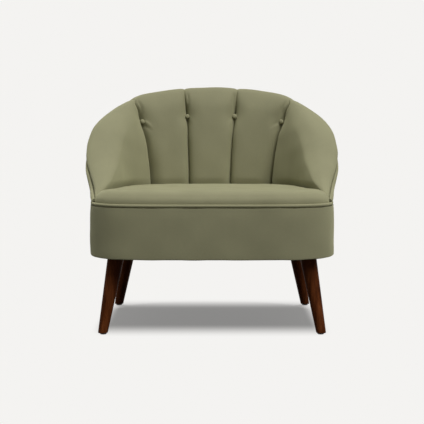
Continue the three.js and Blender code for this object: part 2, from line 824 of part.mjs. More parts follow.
function springAt(x) {
  const widest = Math.abs(x) + springWireRadius;
  const front = crossing(stripInner + gap, widest, quarterTurn, halfTurn + quarterTurn);
  const back = crossing(stripInner + gap, widest, -quarterTurn, quarterTurn);
  const endHeight = stripTop - stripHeight / 2;
  const arch = waist - springWireRadius - endHeight;
  const points = [new THREE.Vector3(x, front, endHeight)];
  for (let i = 0; i <= springBends; i += 1) {
    const share = i / springBends;
    const atEnd = i === 0 || i === springBends;
    const swing = i % 2 === 0 ? -springSwing : springSwing;
    const y = mix(front + springLead, back - springLead, share);
    points.push(new THREE.Vector3(atEnd ? x : x + swing, y, endHeight + arch * Math.sin(Math.PI * share)));
  }
  points.push(new THREE.Vector3(x, back, endHeight));
  const corners = [];
  for (let i = 0; i < springSides; i += 1) {
    const turn = (2 * Math.PI * i) / springSides;
    corners.push(new THREE.Vector2(springWireRadius * Math.cos(turn), springWireRadius * Math.sin(turn)));
  }
  return new THREE.ExtrudeGeometry(new THREE.Shape(corners), {
    steps: springBends * springBendSteps,
    extrudePath: new THREE.CatmullRomCurve3(points),
    curveSegments: 1,
  });
}

/** Angle where the outline reaches a width, between a narrow angle and a wide one. */
function angleAtWidth(x, narrow, wide) {
  const halvings = 40;
  let [near, far] = [narrow, wide];
  for (let i = 0; i < halvings; i += 1) {
    const middle = (near + far) / 2;
    if (outlineAt(middle).point.x < x) near = middle;
    else far = middle;
  }
  return near;
}

function addSprings() {
  const outermost = (springPitch * (springCount - 1)) / 2;
  for (let i = 0; i < springCount; i += 1) {
    const spring = mergeVertices(springAt(i * springPitch - outermost));
    addPiece(`seat_spring_${i + 1}`, spring, springSteel);
  }
  const reach = outermost + springSwing + stripMargin;
  const strip = rectangle(railInner + gap, stripInner, stripTop - stripHeight, stripTop);
  const frontAngle = angleAtWidth(reach, halfTurn, quarterTurn);
  const backAngle = angleAtWidth(reach, 0, quarterTurn);
  addPiece("spring_clips_front", sweep(frontAngle, fullTurn - frontAngle, strip), zinc);
  addPiece("spring_clips_back", sweep(-backAngle, backAngle, strip), zinc);
}

// Legs, blocks and their fixings

/** Where a leg stands and how it runs outwards, for a column of the plan. */
function legPlace(name, angle, inset, lean) {
  const { x, y } = onColumn(angle, [inset, 0]);
  return { name, x, y, lean: Math.sign(x) * lean, rake: Math.sign(y) * legRake };
}

const legPlaces = [
  legPlace("front_left", -legAngles.front, frontLegInset, frontLegLean),
  legPlace("front_right", legAngles.front, frontLegInset, frontLegLean),
  legPlace("back_left", -legAngles.back, backLegInset, backLegLean),
  legPlace("back_right", legAngles.back, backLegInset, backLegLean),
];

/** Moves a leg's points outwards as they go down, so that it leans and its ends stay level. */
function leaned(geometry, { x, y, lean, rake }) {
  const position = geometry.attributes.position;
  for (let i = 0; i < position.count; i += 1) {
    const drop = legTop - position.getZ(i);
    position.setX(i, position.getX(i) + x + lean * drop);
    position.setY(i, position.getY(i) + y + rake * drop);
  }
  return geometry;
}

function addLeg(place) {
  const drop = legTop - legBottom;
  const footX = place.x + place.lean * drop;
  const footY = place.y + place.rake * drop;
  const profile = [
    [0, legBottom],
    [legFootRadius - legFootChamfer, legBottom],
    [mix(legFootRadius, legTopRadius, legFootChamfer / drop), legBottom + legFootChamfer],
    [legTopRadius, legTop],
    [0, legTop],
  ];
  const boltHole = upright(boltRadius + gap, legTop - boltGrip - gap, legTop + overrun, boltSides);
  const pinHole = upright(glidePinRadius + gap, legBottom - overrun, legBottom + glidePinLength, boltSides);
  boltHole.translate(place.x, place.y, 0);
  pinHole.translate(footX, footY, 0);
  addPiece(`${place.name}_leg`, cut(leaned(turned(profile, legSides), place), [boltHole, pinHole]), walnut);

  const pinTop = legBottom + glidePinLength - gap;
  const glide = turned([
    [0, 0],
    [glideRadius - glideChamfer, 0],
    [glideRadius, glideChamfer],
    [glideRadius, glideHeight],
    [glidePinRadius, glideHeight],
    [glidePinRadius, pinTop],
    [0, pinTop],
  ], boltSides);
  addPiece(`${place.name}_glide`, glide.translate(footX, footY, 0), darkPlastic);
}

function addFixings(place, railHollow) {
  const nutSeat = blockTop + gap;
  const nutTop = nutSeat + nutFlangeThickness;
  const boltTop = nutTop + boltProud;
  const bolt = turned([
    [0, legTop - boltGrip],
    [boltRadius - boltChamfer, legTop - boltGrip],
    [boltRadius, legTop - boltGrip + boltChamfer],
    [boltRadius, boltTop - boltChamfer],
    [boltRadius - boltChamfer, boltTop],
    [0, boltTop],
  ], boltSides);
  addPiece(`${place.name}_bolt`, bolt.translate(place.x, place.y, 0), zinc);

  const nut = turned([
    [0, nutSeat - nutBarrelLength],
    [nutBarrelRadius, nutSeat - nutBarrelLength],
    [nutBarrelRadius, nutSeat],
    [nutFlangeRadius, nutSeat],
    [nutFlangeRadius, nutTop],
    [0, nutTop],
  ], boltSides);
  const bore = upright(boltRadius + gap, nutSeat - nutBarrelLength - overrun, nutTop + overrun, boltSides);
  addPiece(`${place.name}_nut`, cut(nut, [bore]).translate(place.x, place.y, 0), zinc);

  const box = new THREE.BoxGeometry(blockWidth, blockDepth, blockThickness);
  box.translate(place.x, place.y, railBottom + blockThickness / 2);
  const hole = upright(nutBarrelRadius + gap, railBottom - overrun, blockTop + overrun, boltSides);
  hole.translate(place.x, place.y, 0);
  const block = toSolid(box).intersect(toSolid(railHollow)).subtract(toSolid(hole));
  addPiece(`${place.name}_block`, toGeometry(block), beech);
}

function addUnderside() {
  const railHollow = plate(() => railInner + gap, railBottom - overrun, blockTop + overrun);
  const boltHoles = legPlaces.map(({ x, y }) => {
    const hole = upright(boltRadius + gap, dustCoverBottom - overrun, dustCoverTop + overrun, boltSides);
    return hole.translate(x, y, 0);
  });
  for (const place of legPlaces) {
    addLeg(place);
    addFixings(place, railHollow);
  }
  const dustCover = plate(() => dustCoverInset, dustCoverBottom, dustCoverTop);
  addPiece("dust_cover", cut(dustCover, boltHoles), blackCloth);
}

addUnderside();
addBase();
addSprings();
addTub();
addButtons();
addSeat();

// The origin is under the middle of the chair's box, on the floor.
const chairBox = new THREE.Box3().setFromObject(chair);
const chairMiddle = chairBox.getCenter(new THREE.Vector3());
chair.position.set(-chairMiddle.x, -chairMiddle.y, -chairBox.min.z);

export default chair;
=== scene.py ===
"""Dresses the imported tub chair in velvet, stained wood, webbing and cloth.

Metres. X runs across the seat, Y from front to back, Z up from the floor, as in the frame.
Angles round the plan are in degrees from the middle of the back, positive to the right.
"""

import json
import math
from collections import namedtuple

import bmesh
import bpy
import numpy as np
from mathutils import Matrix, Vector
from mathutils.kdtree import KDTree


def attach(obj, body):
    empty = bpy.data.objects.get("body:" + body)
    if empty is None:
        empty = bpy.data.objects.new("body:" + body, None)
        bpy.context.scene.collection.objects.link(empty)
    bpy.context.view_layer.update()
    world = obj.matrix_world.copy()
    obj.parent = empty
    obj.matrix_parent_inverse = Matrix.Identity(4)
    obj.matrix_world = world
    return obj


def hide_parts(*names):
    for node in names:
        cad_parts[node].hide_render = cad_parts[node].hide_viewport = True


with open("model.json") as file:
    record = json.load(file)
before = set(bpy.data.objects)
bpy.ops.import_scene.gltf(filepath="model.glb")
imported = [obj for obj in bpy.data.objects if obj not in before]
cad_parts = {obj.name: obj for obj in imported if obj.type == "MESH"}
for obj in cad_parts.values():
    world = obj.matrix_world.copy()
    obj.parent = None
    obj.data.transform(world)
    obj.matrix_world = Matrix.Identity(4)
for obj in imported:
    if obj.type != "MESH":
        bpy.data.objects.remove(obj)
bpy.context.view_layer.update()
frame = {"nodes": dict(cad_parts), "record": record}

# Driving dimensions
LEG_HEIGHT = 0.232
BASE_HEIGHT = 0.153
BASE_HALF_WIDTH = 0.373
BASE_FRONT_DEPTH = 0.350
BASE_BACK_DEPTH = 0.325
PLAN_SHIFT = np.array([0.0, 0.003105])  # the middle of the plan, in the frame
RIM_RISE = 0.373
ARM_END_RISE = 0.0112
RIM_FLARE = 0.037
RIM_RADIUS = 0.060
RADIUS_SHARE = 0.8  # of the thickness, where the tub is thin
RIM_ROLL = 0.034
COVER_THICKNESS = 0.0016
GAP = 0.0003
WAIST = LEG_HEIGHT + BASE_HEIGHT
TUB_BOTTOM = WAIST + GAP
CLOTH_DEPTH = COVER_THICKNESS + GAP

# Shape numbers of the plan: 2 is an ellipse, higher is squarer
FRONT_SQUARENESS = 5
BACK_SQUARENESS = 2.6

# Angles round the plan
QUARTER_TURN = 90
HALF_TURN = 180
FULL_TURN = 360
INNER_SEAM = 15
OUTER_SEAM = 45
BACK_CORNER = 58
TUB_END = 128
ARM_STOP = 123.5
SEAM_GAP = math.degrees(GAP / 2 / BASE_BACK_DEPTH)
ROUND_COLUMNS = 360

# Meshes
SHARP_ABOVE = 50  # degrees between two faces
TUBE_DOME_START = 0.2  # of a quarter turn, from the tip
TUBE_DOME_ROWS = 5
PROFILE_POINTS = 400  # along a profile, where a button looks for its place
TINY = 1e-9  # keeps sums from dividing by nothing

# Profiles along the tub, at stations given as shares of its half length
STATION_SHARES = [0, 0.117, 0.234, 0.352, 0.469, 0.594, 0.727, 0.836, 0.953, 1]
RISE_SHARES = [1, 0.994, 0.967, 0.918, 0.787, 0.62, 0.35, 0.18, 0.041, 0]
FLARE_SHARES = [0.67, 0.69, 0.74, 0.82, 0.93, 1, 0.94, 0.3, 0.05, 0.02]
THICKNESS_STATIONS = [0, 0.25, 0.5, 0.7, 0.82, 0.9, 0.965, 1]
THICKNESSES = [0.132, 0.124, 0.104, 0.076, 0.054, 0.037, 0.017, 0.008]

# The tub's lower edge lifts over the piping at the arms' ends
END_LIFT = 0.008
LIFT_START = 106
LIFT_END = 120

# Seams: how many degrees each wanders from its angle, up the face
LEAN_PITCHES = [0, 0.2, 0.4, 0.55, 0.7, 0.85, 1, 2]
LEANS = {
    -OUTER_SEAM: [0.4, 0.5, -0.4, -1.8, -2.8, -4.5, -3.7, -3.7],
    -INNER_SEAM: [-0.3, -0.3, -0.6, -0.8, -1.7, -2.4, -2.3, -2.3],
    INNER_SEAM: [-2.9, -2.8, -1.8, -0.7, 0.4, 0.9, 0.8, 0.8],
    OUTER_SEAM: [-2.1, -1.6, -0.2, 1.6, 3.2, 5.0, 3.9, 3.9],
}
LEAN_END = 80

# Padded face of the tub
LEAN_SLOPE = 0.05
BACK_REACH_SHARE = 0.36  # how far up the face stays steep
ARM_REACH_SHARE = 0.65
ARM_REACH_TURNS = (40, 70)
CROWN_REACH_SHARE = 1
ROLL_REACH_SHARE = 0.55
ROLL_SHARE = 0.5  # of the tub's height, where it is low
CHANNEL_SWELL = 0.007
CHANNEL_PINCH = 0.008
OUTER_PINCH = 0.035  # more where a channel goes in behind the arm, low down
OUTER_PINCH_RISE = 0.65  # share of the rise over which that fades
CHANNEL_FULLNESS = 4
ARM_SWELL = 0.014
ARM_PINCH = 0.012
ARM_FULLNESS = 10
SWELL_START = 0.030
SWELL_RUN = 0.035
RIM_HOLD_SHARE = 0.1
RIM_HOLD_START_SHARE = 0.8
CREASE_DEPTH = 0.022  # how far the last few millimetres of a panel dive into its seam
CREASE_REACH = 0.005
CREASE_RIM_SHARE = 0.14
EDGE_PROUD = 0.0015  # how far the pads stand out of the outer panel
EDGE_TUCK = 0.0035  # how far the covers turn in along the seam between them
EDGE_OVERLAP = 0.001  # how far the outer panel goes up behind the pads
PAD_TUCK_RUN = 0.15
ARM_TUCK = 0.010  # more, where the arms' pads roll over to the outer panel
ARM_TUCK_RUN = 0.4
ARM_TUCK_TURNS = (80, 100)
PANEL_TUCK_RUN = 0.05
CORNER_SEAM_DEPTH = 0.0015

# The outer panel ends at the outer seam, pitch 2, and comes over the arms towards their ends
WRAP_TURNS = [0, 86, 92, 98, 106, 112, 118, 123.5]
WRAP_PITCHES = [2, 2, 1.9, 1.82, 1.77, 1.66, 1.48, 1.25]
INNER_ROWS = 84
ROLL_ROWS = 20
PANEL_STEP = 0.0045  # mean width of a panel's columns
SEAM_CLUSTER = 0.75  # 0 spaces them evenly, 1 crowds them at the seams
RIPPLE = 0.0005

# Back of the pads, against the frame and the webbing
RAIL_START = 0.0082
RAIL_THICKNESS = 0.022
ROLL_PADDING = 0.007
BEHIND_WEBBING = 0.0031
PAD_BACK_SHARE = 0.85  # of a pad's rows, up its back before they cross its shelf

# Buttons, tufts, pleats and folds
BUTTON_HEIGHT_SHARES = {"inner": 0.746, "outer": 0.753}
SEAM_PINCH = 0.007
TUFT_DEPTH = 0.008
TUFT_REACH = 0.034
BUTTON_RADIUS = 0.008
BUTTON_RIM = 0.002
BUTTON_DOME = 0.005
BUTTON_SINK = 0.0015
BUTTON_BACK = 0.003
BUTTON_NECK_SHARE = 0.8
BUTTON_SIDES = 64
BUTTON_ROWS = 13
BUTTON_PUCKERS = 16
BUTTON_PUCKER_SHARE = 0.025
PLEAT_DEPTH = 0.0045
PLEAT_WIDTH = 0.0034
PLEAT_OFFSET = 0.010  # from the seam to the pleat's crease, well above the button
PLEAT_RUN = 0.050
PLEAT_END_SHARE = 0.97
PLEAT_FADE_SHARE = 0.05
FOLD_DEPTH = 0.008
FOLD_WIDTH = 0.006
FOLD_LENGTH = 0.052

# Outer panel
OUTER_BOW = 0.003
OUTER_ROWS = 44
OUTER_COLUMNS = 320

# Base border
BORDER_SWELL = 0.006
BORDER_TUCK = 0.0015
BORDER_HEIGHT_SHARES = [0, 0.04, 0.15, 0.5, 0.8, 1]
BORDER_SWELL_SHARES = [0.88, 0.95, 1, 1, 0.9, 0.6]
BORDER_EDGE_SHARE = 0.02
BORDER_EDGE_ROWS = 9
BORDER_RETURN = 0.025
BORDER_RETURN_ROWS = 4
BORDER_BACK = 0.0079
BORDER_ROWS = 44

# Seat
SEAT_PEAK = 0.048
SEAT_EDGE_TURNS = [0, 30, 45, 60, 75, 95, 109, 117, 124, 136, 180]
SEAT_EDGE_HEIGHTS = [0.041, 0.041, 0.038, 0.034, 0.030, 0.024, 0.017, 0.0115, 0.0095, 0.0115, 0.012]
SEAT_BACK_SHOULDER = 0.041
SEAT_FRONT_SHOULDER = 0.046
SEAT_ROUNDNESS = 1.15
SEAT_SOFTNESS = 2.4  # 2 rolls the edge as a circle, more starts the roll gently
SEAT_CORNER_START = 116
SEAT_CORNER_TURN = 7
SEAT_RINGS = 72
SEAT_WALL_SHARES = (0.35, 0.7, 1)
SEAT_UNDER_SHARES = (0.94, 0.6, 0.2)
SPRING_CLOTH_THICKNESS = 0.001

# The seat's top is blown up as cloth, and held at its edge
SEAT_VOXEL = 0.008
SEAT_PRESSURE = 4
SEAT_SWELL = 0.002
SEAT_BACK_HOLD_SHARE = 0.12
SEAT_FRONT_HOLD_SHARE = 0.03
SETTLING_FRAMES = 20
SETTLING_NEIGHBOURS = 6
SETTLING_BLUR = SEAT_VOXEL / 4

# Piping
PIPING_RADIUS = 0.005
PIPING_STAND_OFF = 0.0034
PIPING_LIFT = 0.0008
PIPING_TURN = 115
PIPING_TUCK_TURN = 8
PIPING_TUCK_DEPTH = 0.012
PIPING_SIDES = 24
PIPING_COLUMNS = 220
PIPING_TUCK_COLUMNS = 23
SEAT_INSET = 2 * PIPING_RADIUS - PIPING_STAND_OFF + GAP

# Underside
DUST_COVER_INSET = 0.010
DUST_COVER_THICKNESS = 0.0008
DUST_COVER_SAG = 0.004
DUST_COVER_SAG_SHARE = 0.6
PLATE_RINGS = 15

# Legs
LEG_ANGLES = {"back": 55.2, "front": 126.7}
LEG_INSETS = {"back": 0.043, "front": 0.067}
LEG_LEANS = {"back": 0.197, "front": 0.166}
LEG_RAKE = 0.2
LEG_TOP_RADIUS = 0.0255
LEG_FOOT_RADIUS = 0.0148
LEG_FOOT_EDGE = 0.001
GLIDE_HEIGHT = 0.004
LEG_TOP = LEG_HEIGHT - GAP - DUST_COVER_THICKNESS - GAP
LEG_BOTTOM = GLIDE_HEIGHT + GAP
LEG_SIDES = 72
LEG_ROWS = 24
LEG_EDGE_ROWS = 5


def clamp(x, low=0.0, high=1.0):
    return np.minimum(high, np.maximum(low, x))


def mix(a, b, t):
    return a + (b - a) * t


def ease(x):
    t = clamp(x)
    return t * t * (3 - 2 * t)


def arch(t):
    """0 at both ends of t from 0 to 1, and 1 halfway."""
    return 4 * t * (1 - t)


def hump(x, width):
    """1 at zero, falling away over a width on either side."""
    return np.exp(-((x / width) ** 2))


def bezier(a, b, c, d, t):
    return a * (1 - t) ** 3 + 3 * b * t * (1 - t) ** 2 + 3 * c * t**2 * (1 - t) + d * t**3


def smooth_table(xs, ys, x):
    """A smooth curve through the points (xs, ys), read at every x."""
    xs, ys = np.array(xs, float), np.array(ys, float)
    slopes = np.zeros(len(xs))
    slopes[1:-1] = (ys[2:] - ys[:-2]) / (xs[2:] - xs[:-2])
    slopes[-1] = (ys[-1] - ys[-2]) / (xs[-1] - xs[-2])
    i = np.clip(np.searchsorted(xs, x) - 1, 0, len(xs) - 2)
    width = xs[i + 1] - xs[i]
    t = clamp((x - xs[i]) / width)
    rise = ys[i + 1] - ys[i]
    early = slopes[i] * width - rise
    late = rise - slopes[i + 1] * width
    return mix(ys[i], ys[i + 1], t) + t * (1 - t) * (early * (1 - t) + late * t)


# Plan of the base


def outline(angle):
    """Points and outward normals of the base's outline at these angles."""
    turn = np.radians(angle)
    x, y = np.sin(turn), np.cos(turn)
    depth = np.where(y >= 0, BASE_BACK_DEPTH, BASE_FRONT_DEPTH)
    power = np.where(y >= 0, BACK_SQUARENESS, FRONT_SQUARENESS)
    total = np.abs(x / BASE_HALF_WIDTH) ** power + np.abs(y / depth) ** power
    x, y = x * total ** (-1 / power), y * total ** (-1 / power)
    normal_x = np.sign(x) * np.abs(x / BASE_HALF_WIDTH) ** (power - 1) / BASE_HALF_WIDTH
    normal_y = np.sign(y) * np.abs(y / depth) ** (power - 1) / depth
    normal = np.stack([normal_x, normal_y], -1)
    normal /= np.linalg.norm(normal, axis=-1, keepdims=True)
    return np.stack([x, y], -1) + PLAN_SHIFT, normal


def on_columns(angle, depth, height):
    """Points at these angles, at depths in from the outline and heights."""
    angle, depth, height = np.broadcast_arrays(angle, depth, height)
    point, normal = outline(angle)
    return np.concatenate([point - normal * depth[..., None], height[..., None]], -1)


def round_angles():
    """A column of angles all the way round."""
    return (np.arange(ROUND_COLUMNS) * FULL_TURN / ROUND_COLUMNS - HALF_TURN)[:, None]


def rippled(points):
    """The points with the slight unevenness of stuffed cloth, in waves that never line up."""
    x, y, z = points[..., 0], points[..., 1], points[..., 2]
    wave_x = np.sin(41 * y + 1.1) * np.sin(47 * z + 0.4) + 0.5 * np.sin(83 * z + 29 * y)
    wave_y = np.sin(37 * x + 2.3) * np.sin(53 * z + 1.7) + 0.5 * np.sin(71 * x - 31 * z)
    wave_z = np.sin(43 * x + 0.6) * np.sin(39 * y + 2.9) + 0.5 * np.sin(61 * x + 67 * y)
    return points + RIPPLE * np.stack([wave_x, wave_y, wave_z], -1)


# Meshes


def grid_faces(index):
    """Quads over a grid of point numbers."""
    corners = [index[:-1, :-1], index[1:, :-1], index[1:, 1:], index[:-1, 1:]]
    return np.stack(corners, -1).reshape(-1, 4)


def between(front, back):
    """A closed pad between two grids of points."""
    rows, columns = front.shape[:2]
    index = np.arange(rows * columns).reshape(rows, columns)
    edge = np.concatenate([index[0], index[1:, -1], index[-1, -2::-1], index[-2:0:-1, 0]])
    behind = edge + index.size
    sides = np.stack([edge, np.roll(edge, -1), np.roll(behind, -1), behind], -1)
    faces = np.concatenate([grid_faces(index), grid_faces(index + index.size)[:, ::-1], sides])
    return np.concatenate([front.reshape(-1, 3), back.reshape(-1, 3)]), faces.tolist()


def looped(sections):
    """A closed band from closed sections all the way round."""
    rows, columns = sections.shape[:2]
    index = np.arange(rows * columns).reshape(rows, columns)
    index = np.pad(index, ((0, 1), (0, 1)), mode="wrap")
    return sections.reshape(-1, 3), grid_faces(index).tolist()


def capped(first, rings, last):
    """A closed form from one end point, through closed rings, to another."""
    rows, columns = rings.shape[:2]
    index = np.arange(rows * columns).reshape(rows, columns)
    index = np.pad(index, ((0, 0), (0, 1)), mode="wrap")
    start, end = rows * columns, rows * columns + 1
    faces = grid_faces(index).tolist()
    faces += [[start, int(a), int(b)] for a, b in zip(index[0, :-1], index[0, 1:])]
    faces += [[end, int(b), int(a)] for a, b in zip(index[-1, :-1], index[-1, 1:])]
    return np.concatenate([rings.reshape(-1, 3), [first], [last]]), faces


def tube(path, radius, sides):
    """A round tube along a path, with domed ends."""
    tangents = np.gradient(path, axis=0)
    tangents /= np.linalg.norm(tangents, axis=1, keepdims=True)
    across = np.zeros_like(path)
    side = np.cross(tangents[0], [0, 0, 1])
    for i, tangent in enumerate(tangents):
        side = side - tangent * side.dot(tangent)
        side /= np.linalg.norm(side)
        across[i] = side
    dome = np.linspace(TUBE_DOME_START, 1, TUBE_DOME_ROWS + 1)[:-1] * math.pi / 2
    centres = np.concatenate([
        path[0] - tangents[0] * radius * np.cos(dome)[:, None],
        path,
        path[-1] + tangents[-1] * radius * np.cos(dome[::-1])[:, None],
    ])
    first, last = np.zeros(TUBE_DOME_ROWS, int), np.full(TUBE_DOME_ROWS, len(path) - 1)
    repeats = np.concatenate([first, np.arange(len(path)), last])
    sizes = radius * np.concatenate([np.sin(dome), np.ones(len(path)), np.sin(dome[::-1])])
    first_axis = across[repeats]
    second_axis = np.cross(tangents[repeats], first_axis)
    turn = np.linspace(0, 2 * math.pi, sides, endpoint=False)[None, :, None]
    spokes = np.cos(turn) * first_axis[:, None] + np.sin(turn) * second_axis[:, None]
    rings = centres[:, None] + spokes * sizes[:, None, None]
    return capped(path[0] - tangents[0] * radius, rings, path[-1] + tangents[-1] * radius)


def add_piece(name, shape, material, replaced):
    """Makes a smooth-shaded object of (points, faces) that stands for some CAD nodes."""
    points, faces = shape
    mesh = bpy.data.meshes.new(name)
    mesh.from_pydata(np.asarray(points).tolist(), [], faces)
    work = bmesh.new()
    work.from_mesh(mesh)
    if work.calc_volume(signed=True) < 0:
        bmesh.ops.reverse_faces(work, faces=work.faces)
    work.to_mesh(mesh)
    work.free()
    mesh.shade_smooth()
    mesh.set_sharp_from_angle(angle=math.radians(SHARP_ABOVE))
    mesh.materials.append(material)
    piece = bpy.data.objects.new(name, mesh)
    bpy.context.scene.collection.objects.link(piece)
    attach(piece, "root")
    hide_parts(*replaced)
    return piece


# Materials


class Look:
    """A material's nodes, with short ways to add and join them."""

    def __init__(self, name, roughness, metallic=0.0):
        self.material = bpy.data.materials.new(name)
        self.material.use_nodes = True
        self.tree = self.material.node_tree
        self.shader = self.tree.nodes["Principled BSDF"]
        self.set(Roughness=roughness, Metallic=metallic)
        self.place = self.tree.nodes.new("ShaderNodeTexCoord").outputs["Object"]

    def set(self, **values):
        for name, value in values.items():
            self.shader.inputs[name.replace("_", " ")].default_value = value

    def node(self, kind, inputs=(), **settings):
        made = self.tree.nodes.new(kind)
        for name, value in settings.items():
            setattr(made, name, value)
        for key, value in dict(inputs).items():
            if isinstance(value, bpy.types.NodeSocket):
                self.tree.links.new(value, made.inputs[key])
            else:
                made.inputs[key].default_value = value
        return made

    def stretched(self, scale):
        return self.node("ShaderNodeMapping", {"Vector": self.place, "Scale": scale}).outputs[0]

    def noise(self, scale, detail=2.0, roughness=0.5, vector=None):
        inputs = {"Vector": vector or self.place, "Scale": scale, "Detail": detail}
        return self.node("ShaderNodeTexNoise", {**inputs, "Roughness": roughness}).outputs[0]

    def wave(self, axis, scale, distortion=0.0):
        inputs = {"Vector": self.place, "Scale": scale, "Distortion": distortion}
        return self.node("ShaderNodeTexWave", inputs, bands_direction=axis).outputs["Fac"]

    def math(self, operation, a, b):
        return self.node("ShaderNodeMath", {0: a, 1: b}, operation=operation).outputs[0]

    def ramp(self, value, *stops):
        """Colours at places along a value."""
        made = self.node("ShaderNodeValToRGB", {"Fac": value})
        elements = made.color_ramp.elements
        for element, (place, colour) in zip(elements, (stops[0], stops[-1])):
            element.position = place
            element.color = (*colour, 1)
        for place, colour in stops[1:-1]:
            elements.new(place).color = (*colour, 1)
        return made.outputs[0]

    def span(self, value, low, high):
        """A value from 0 to 1 turned into one from low to high."""
        inputs = {"Value": value, "To Min": low, "To Max": high}
        return self.node("ShaderNodeMapRange", inputs).outputs[0]

    def blend(self, main, other, share):
        """Two values from 0 to 1 as one, to which the other gives a share."""
        return self.math("ADD", self.span(main, 0.0, 1 - share), self.span(other, 0.0, share))

    def colour(self, socket):
        self.tree.links.new(socket, self.shader.inputs["Base Color"])

    def rough(self, socket):
        self.tree.links.new(socket, self.shader.inputs["Roughness"])

    def bump(self, *layers):
        """Raises the surface by layers of (height, strength, distance in metres)."""
        normal = None
        for height, strength, distance in layers:
            inputs = {"Height": height, "Strength": strength, "Distance": distance}
            if normal:
                inputs["Normal"] = normal
            normal = self.node("ShaderNodeBump", inputs).outputs[0]
        self.tree.links.new(normal, self.shader.inputs["Normal"])


def velvet():
    look = Look("sage_velvet", 0.85)
    look.set(Sheen_Weight=0.3, Sheen_Roughness=0.6, Sheen_Tint=(1, 0.99, 0.6, 1))
    look.set(Specular_IOR_Level=0.4)
    brushed = look.noise(9, 3, 0.55, look.stretched((1, 1, 0.6)))
    mottled = look.noise(240, 2)
    pile = look.noise(2600, 2, 0.7)
    tone = look.blend(brushed, mottled, 0.3)
    look.colour(look.ramp(tone, (0.25, (0.19, 0.183, 0.104)), (0.75, (0.235, 0.227, 0.13))))
    look.rough(look.span(mottled, 0.78, 0.92))
    look.bump((mottled, 0.12, 0.0006), (pile, 0.35, 0.0003))
    return look.material


def stained_wood():
    look = Look("stained_walnut", 0.5)
    look.set(Specular_IOR_Level=0.03)
    along = look.stretched((1, 1, 0.045))
    figure = look.noise(70, 5, 0.62, along)
    pores = look.noise(900, 2, 0.6, look.stretched((1, 1, 0.03)))
    tone = look.blend(figure, pores, 0.2)
    dark, middle, light = (0.018, 0.005, 0.0012), (0.072, 0.0185, 0.0045), (0.15, 0.044, 0.012)
    look.colour(look.ramp(tone, (0.3, dark), (0.5, middle), (0.72, light)))
    look.rough(look.span(pores, 0.44, 0.58))
    look.bump((figure, 0.08, 0.0004), (pores, 0.15, 0.0002))
    return look.material


def beech():
    look = Look("beech", 0.62)
    grain = look.noise(60, 4, 0.6, look.stretched((1, 1, 0.12)))
    flecks = look.noise(700, 1, 0.5)
    tone = look.blend(grain, flecks, 0.2)
    look.colour(look.ramp(tone, (0.3, (0.45, 0.29, 0.15)), (0.7, (0.64, 0.46, 0.27))))
    look.bump((grain, 0.2, 0.0004))
    return look.material


def steel(name, low, high, roughness):
    look = Look(name, roughness, metallic=1.0)
    scuffs = look.noise(380, 3, 0.65)
    look.colour(look.ramp(scuffs, (0.3, low), (0.7, high)))
    look.rough(look.span(scuffs, roughness - 0.08, roughness + 0.12))
    look.bump((scuffs, 0.1, 0.0002))
    return look.material


def woven(name, low, high, scale):
    look = Look(name, 0.95)
    warp = look.wave("X", scale, 0.6)
    weft = look.wave("Z", scale, 0.6)
    threads = look.math("MULTIPLY", warp, weft)
    slubs = look.noise(scale / 4, 3, 0.6)
    tone = look.blend(threads, slubs, 0.4)
    look.colour(look.ramp(tone, (0.15, low), (0.8, high)))
    look.bump((threads, 0.5, 0.0005))
    return look.material


def black_cloth():
    look = Look("black_cloth", 0.98)
    fibres = look.noise(1500, 3, 0.7)
    dimples = look.noise(420, 1)
    look.colour(look.ramp(fibres, (0.3, (0.008, 0.008, 0.009)), (0.75, (0.03, 0.03, 0.032))))
    look.bump((fibres, 0.4, 0.0003), (dimples, 0.2, 0.0004))
    return look.material


def moulded_plastic():
    look = Look("dark_plastic", 0.5)
    grain = look.noise(900, 2)
    look.colour(look.ramp(grain, (0.3, (0.02, 0.017, 0.015)), (0.7, (0.034, 0.029, 0.026))))
    look.rough(look.span(grain, 0.42, 0.58))
    look.bump((grain, 0.1, 0.0002))
    return look.material


VELVET = velvet()
WALNUT = stained_wood()
JUTE = woven("jute", (0.2, 0.15, 0.08), (0.48, 0.4, 0.24), 900)
BLACK_CLOTH = black_cloth()
SLOT_LOOKS = {
    "frame_wood": beech(),
    "fixing_steel": steel("zinc_plate", (0.5, 0.51, 0.53), (0.68, 0.69, 0.71), 0.35),
    "spring_steel": steel("spring_wire", (0.14, 0.14, 0.15), (0.26, 0.26, 0.27), 0.42),
    "jute": JUTE,
    "glide_plastic": moulded_plastic(),
}


# Tub


def bottom_at(angle):
    """Height of the tub's lower edge at these angles."""
    return TUB_BOTTOM + END_LIFT * ease((np.abs(angle) - LIFT_START) / (LIFT_END - LIFT_START))


Tub = namedtuple("Tub", ["rise", "flare", "thickness", "radius", "seam"])


def tub_at(angle):
    """Rise, flare, thickness, rim radius and outer seam height of the tub at these angles."""
    share = clamp(np.abs(angle) / TUB_END)
    rise = mix(ARM_END_RISE, RIM_RISE, smooth_table(STATION_SHARES, RISE_SHARES, share))
    flare = RIM_FLARE * smooth_table(STATION_SHARES, FLARE_SHARES, share)
    thickness = smooth_table(THICKNESS_STATIONS, THICKNESSES, share)
    radius = np.minimum(RIM_RADIUS, thickness * RADIUS_SHARE)
    top = WAIST + rise
    seam = top - np.minimum(RIM_ROLL, ROLL_SHARE * (top - bottom_at(angle)))
    return Tub(rise, flare, thickness, radius, seam)


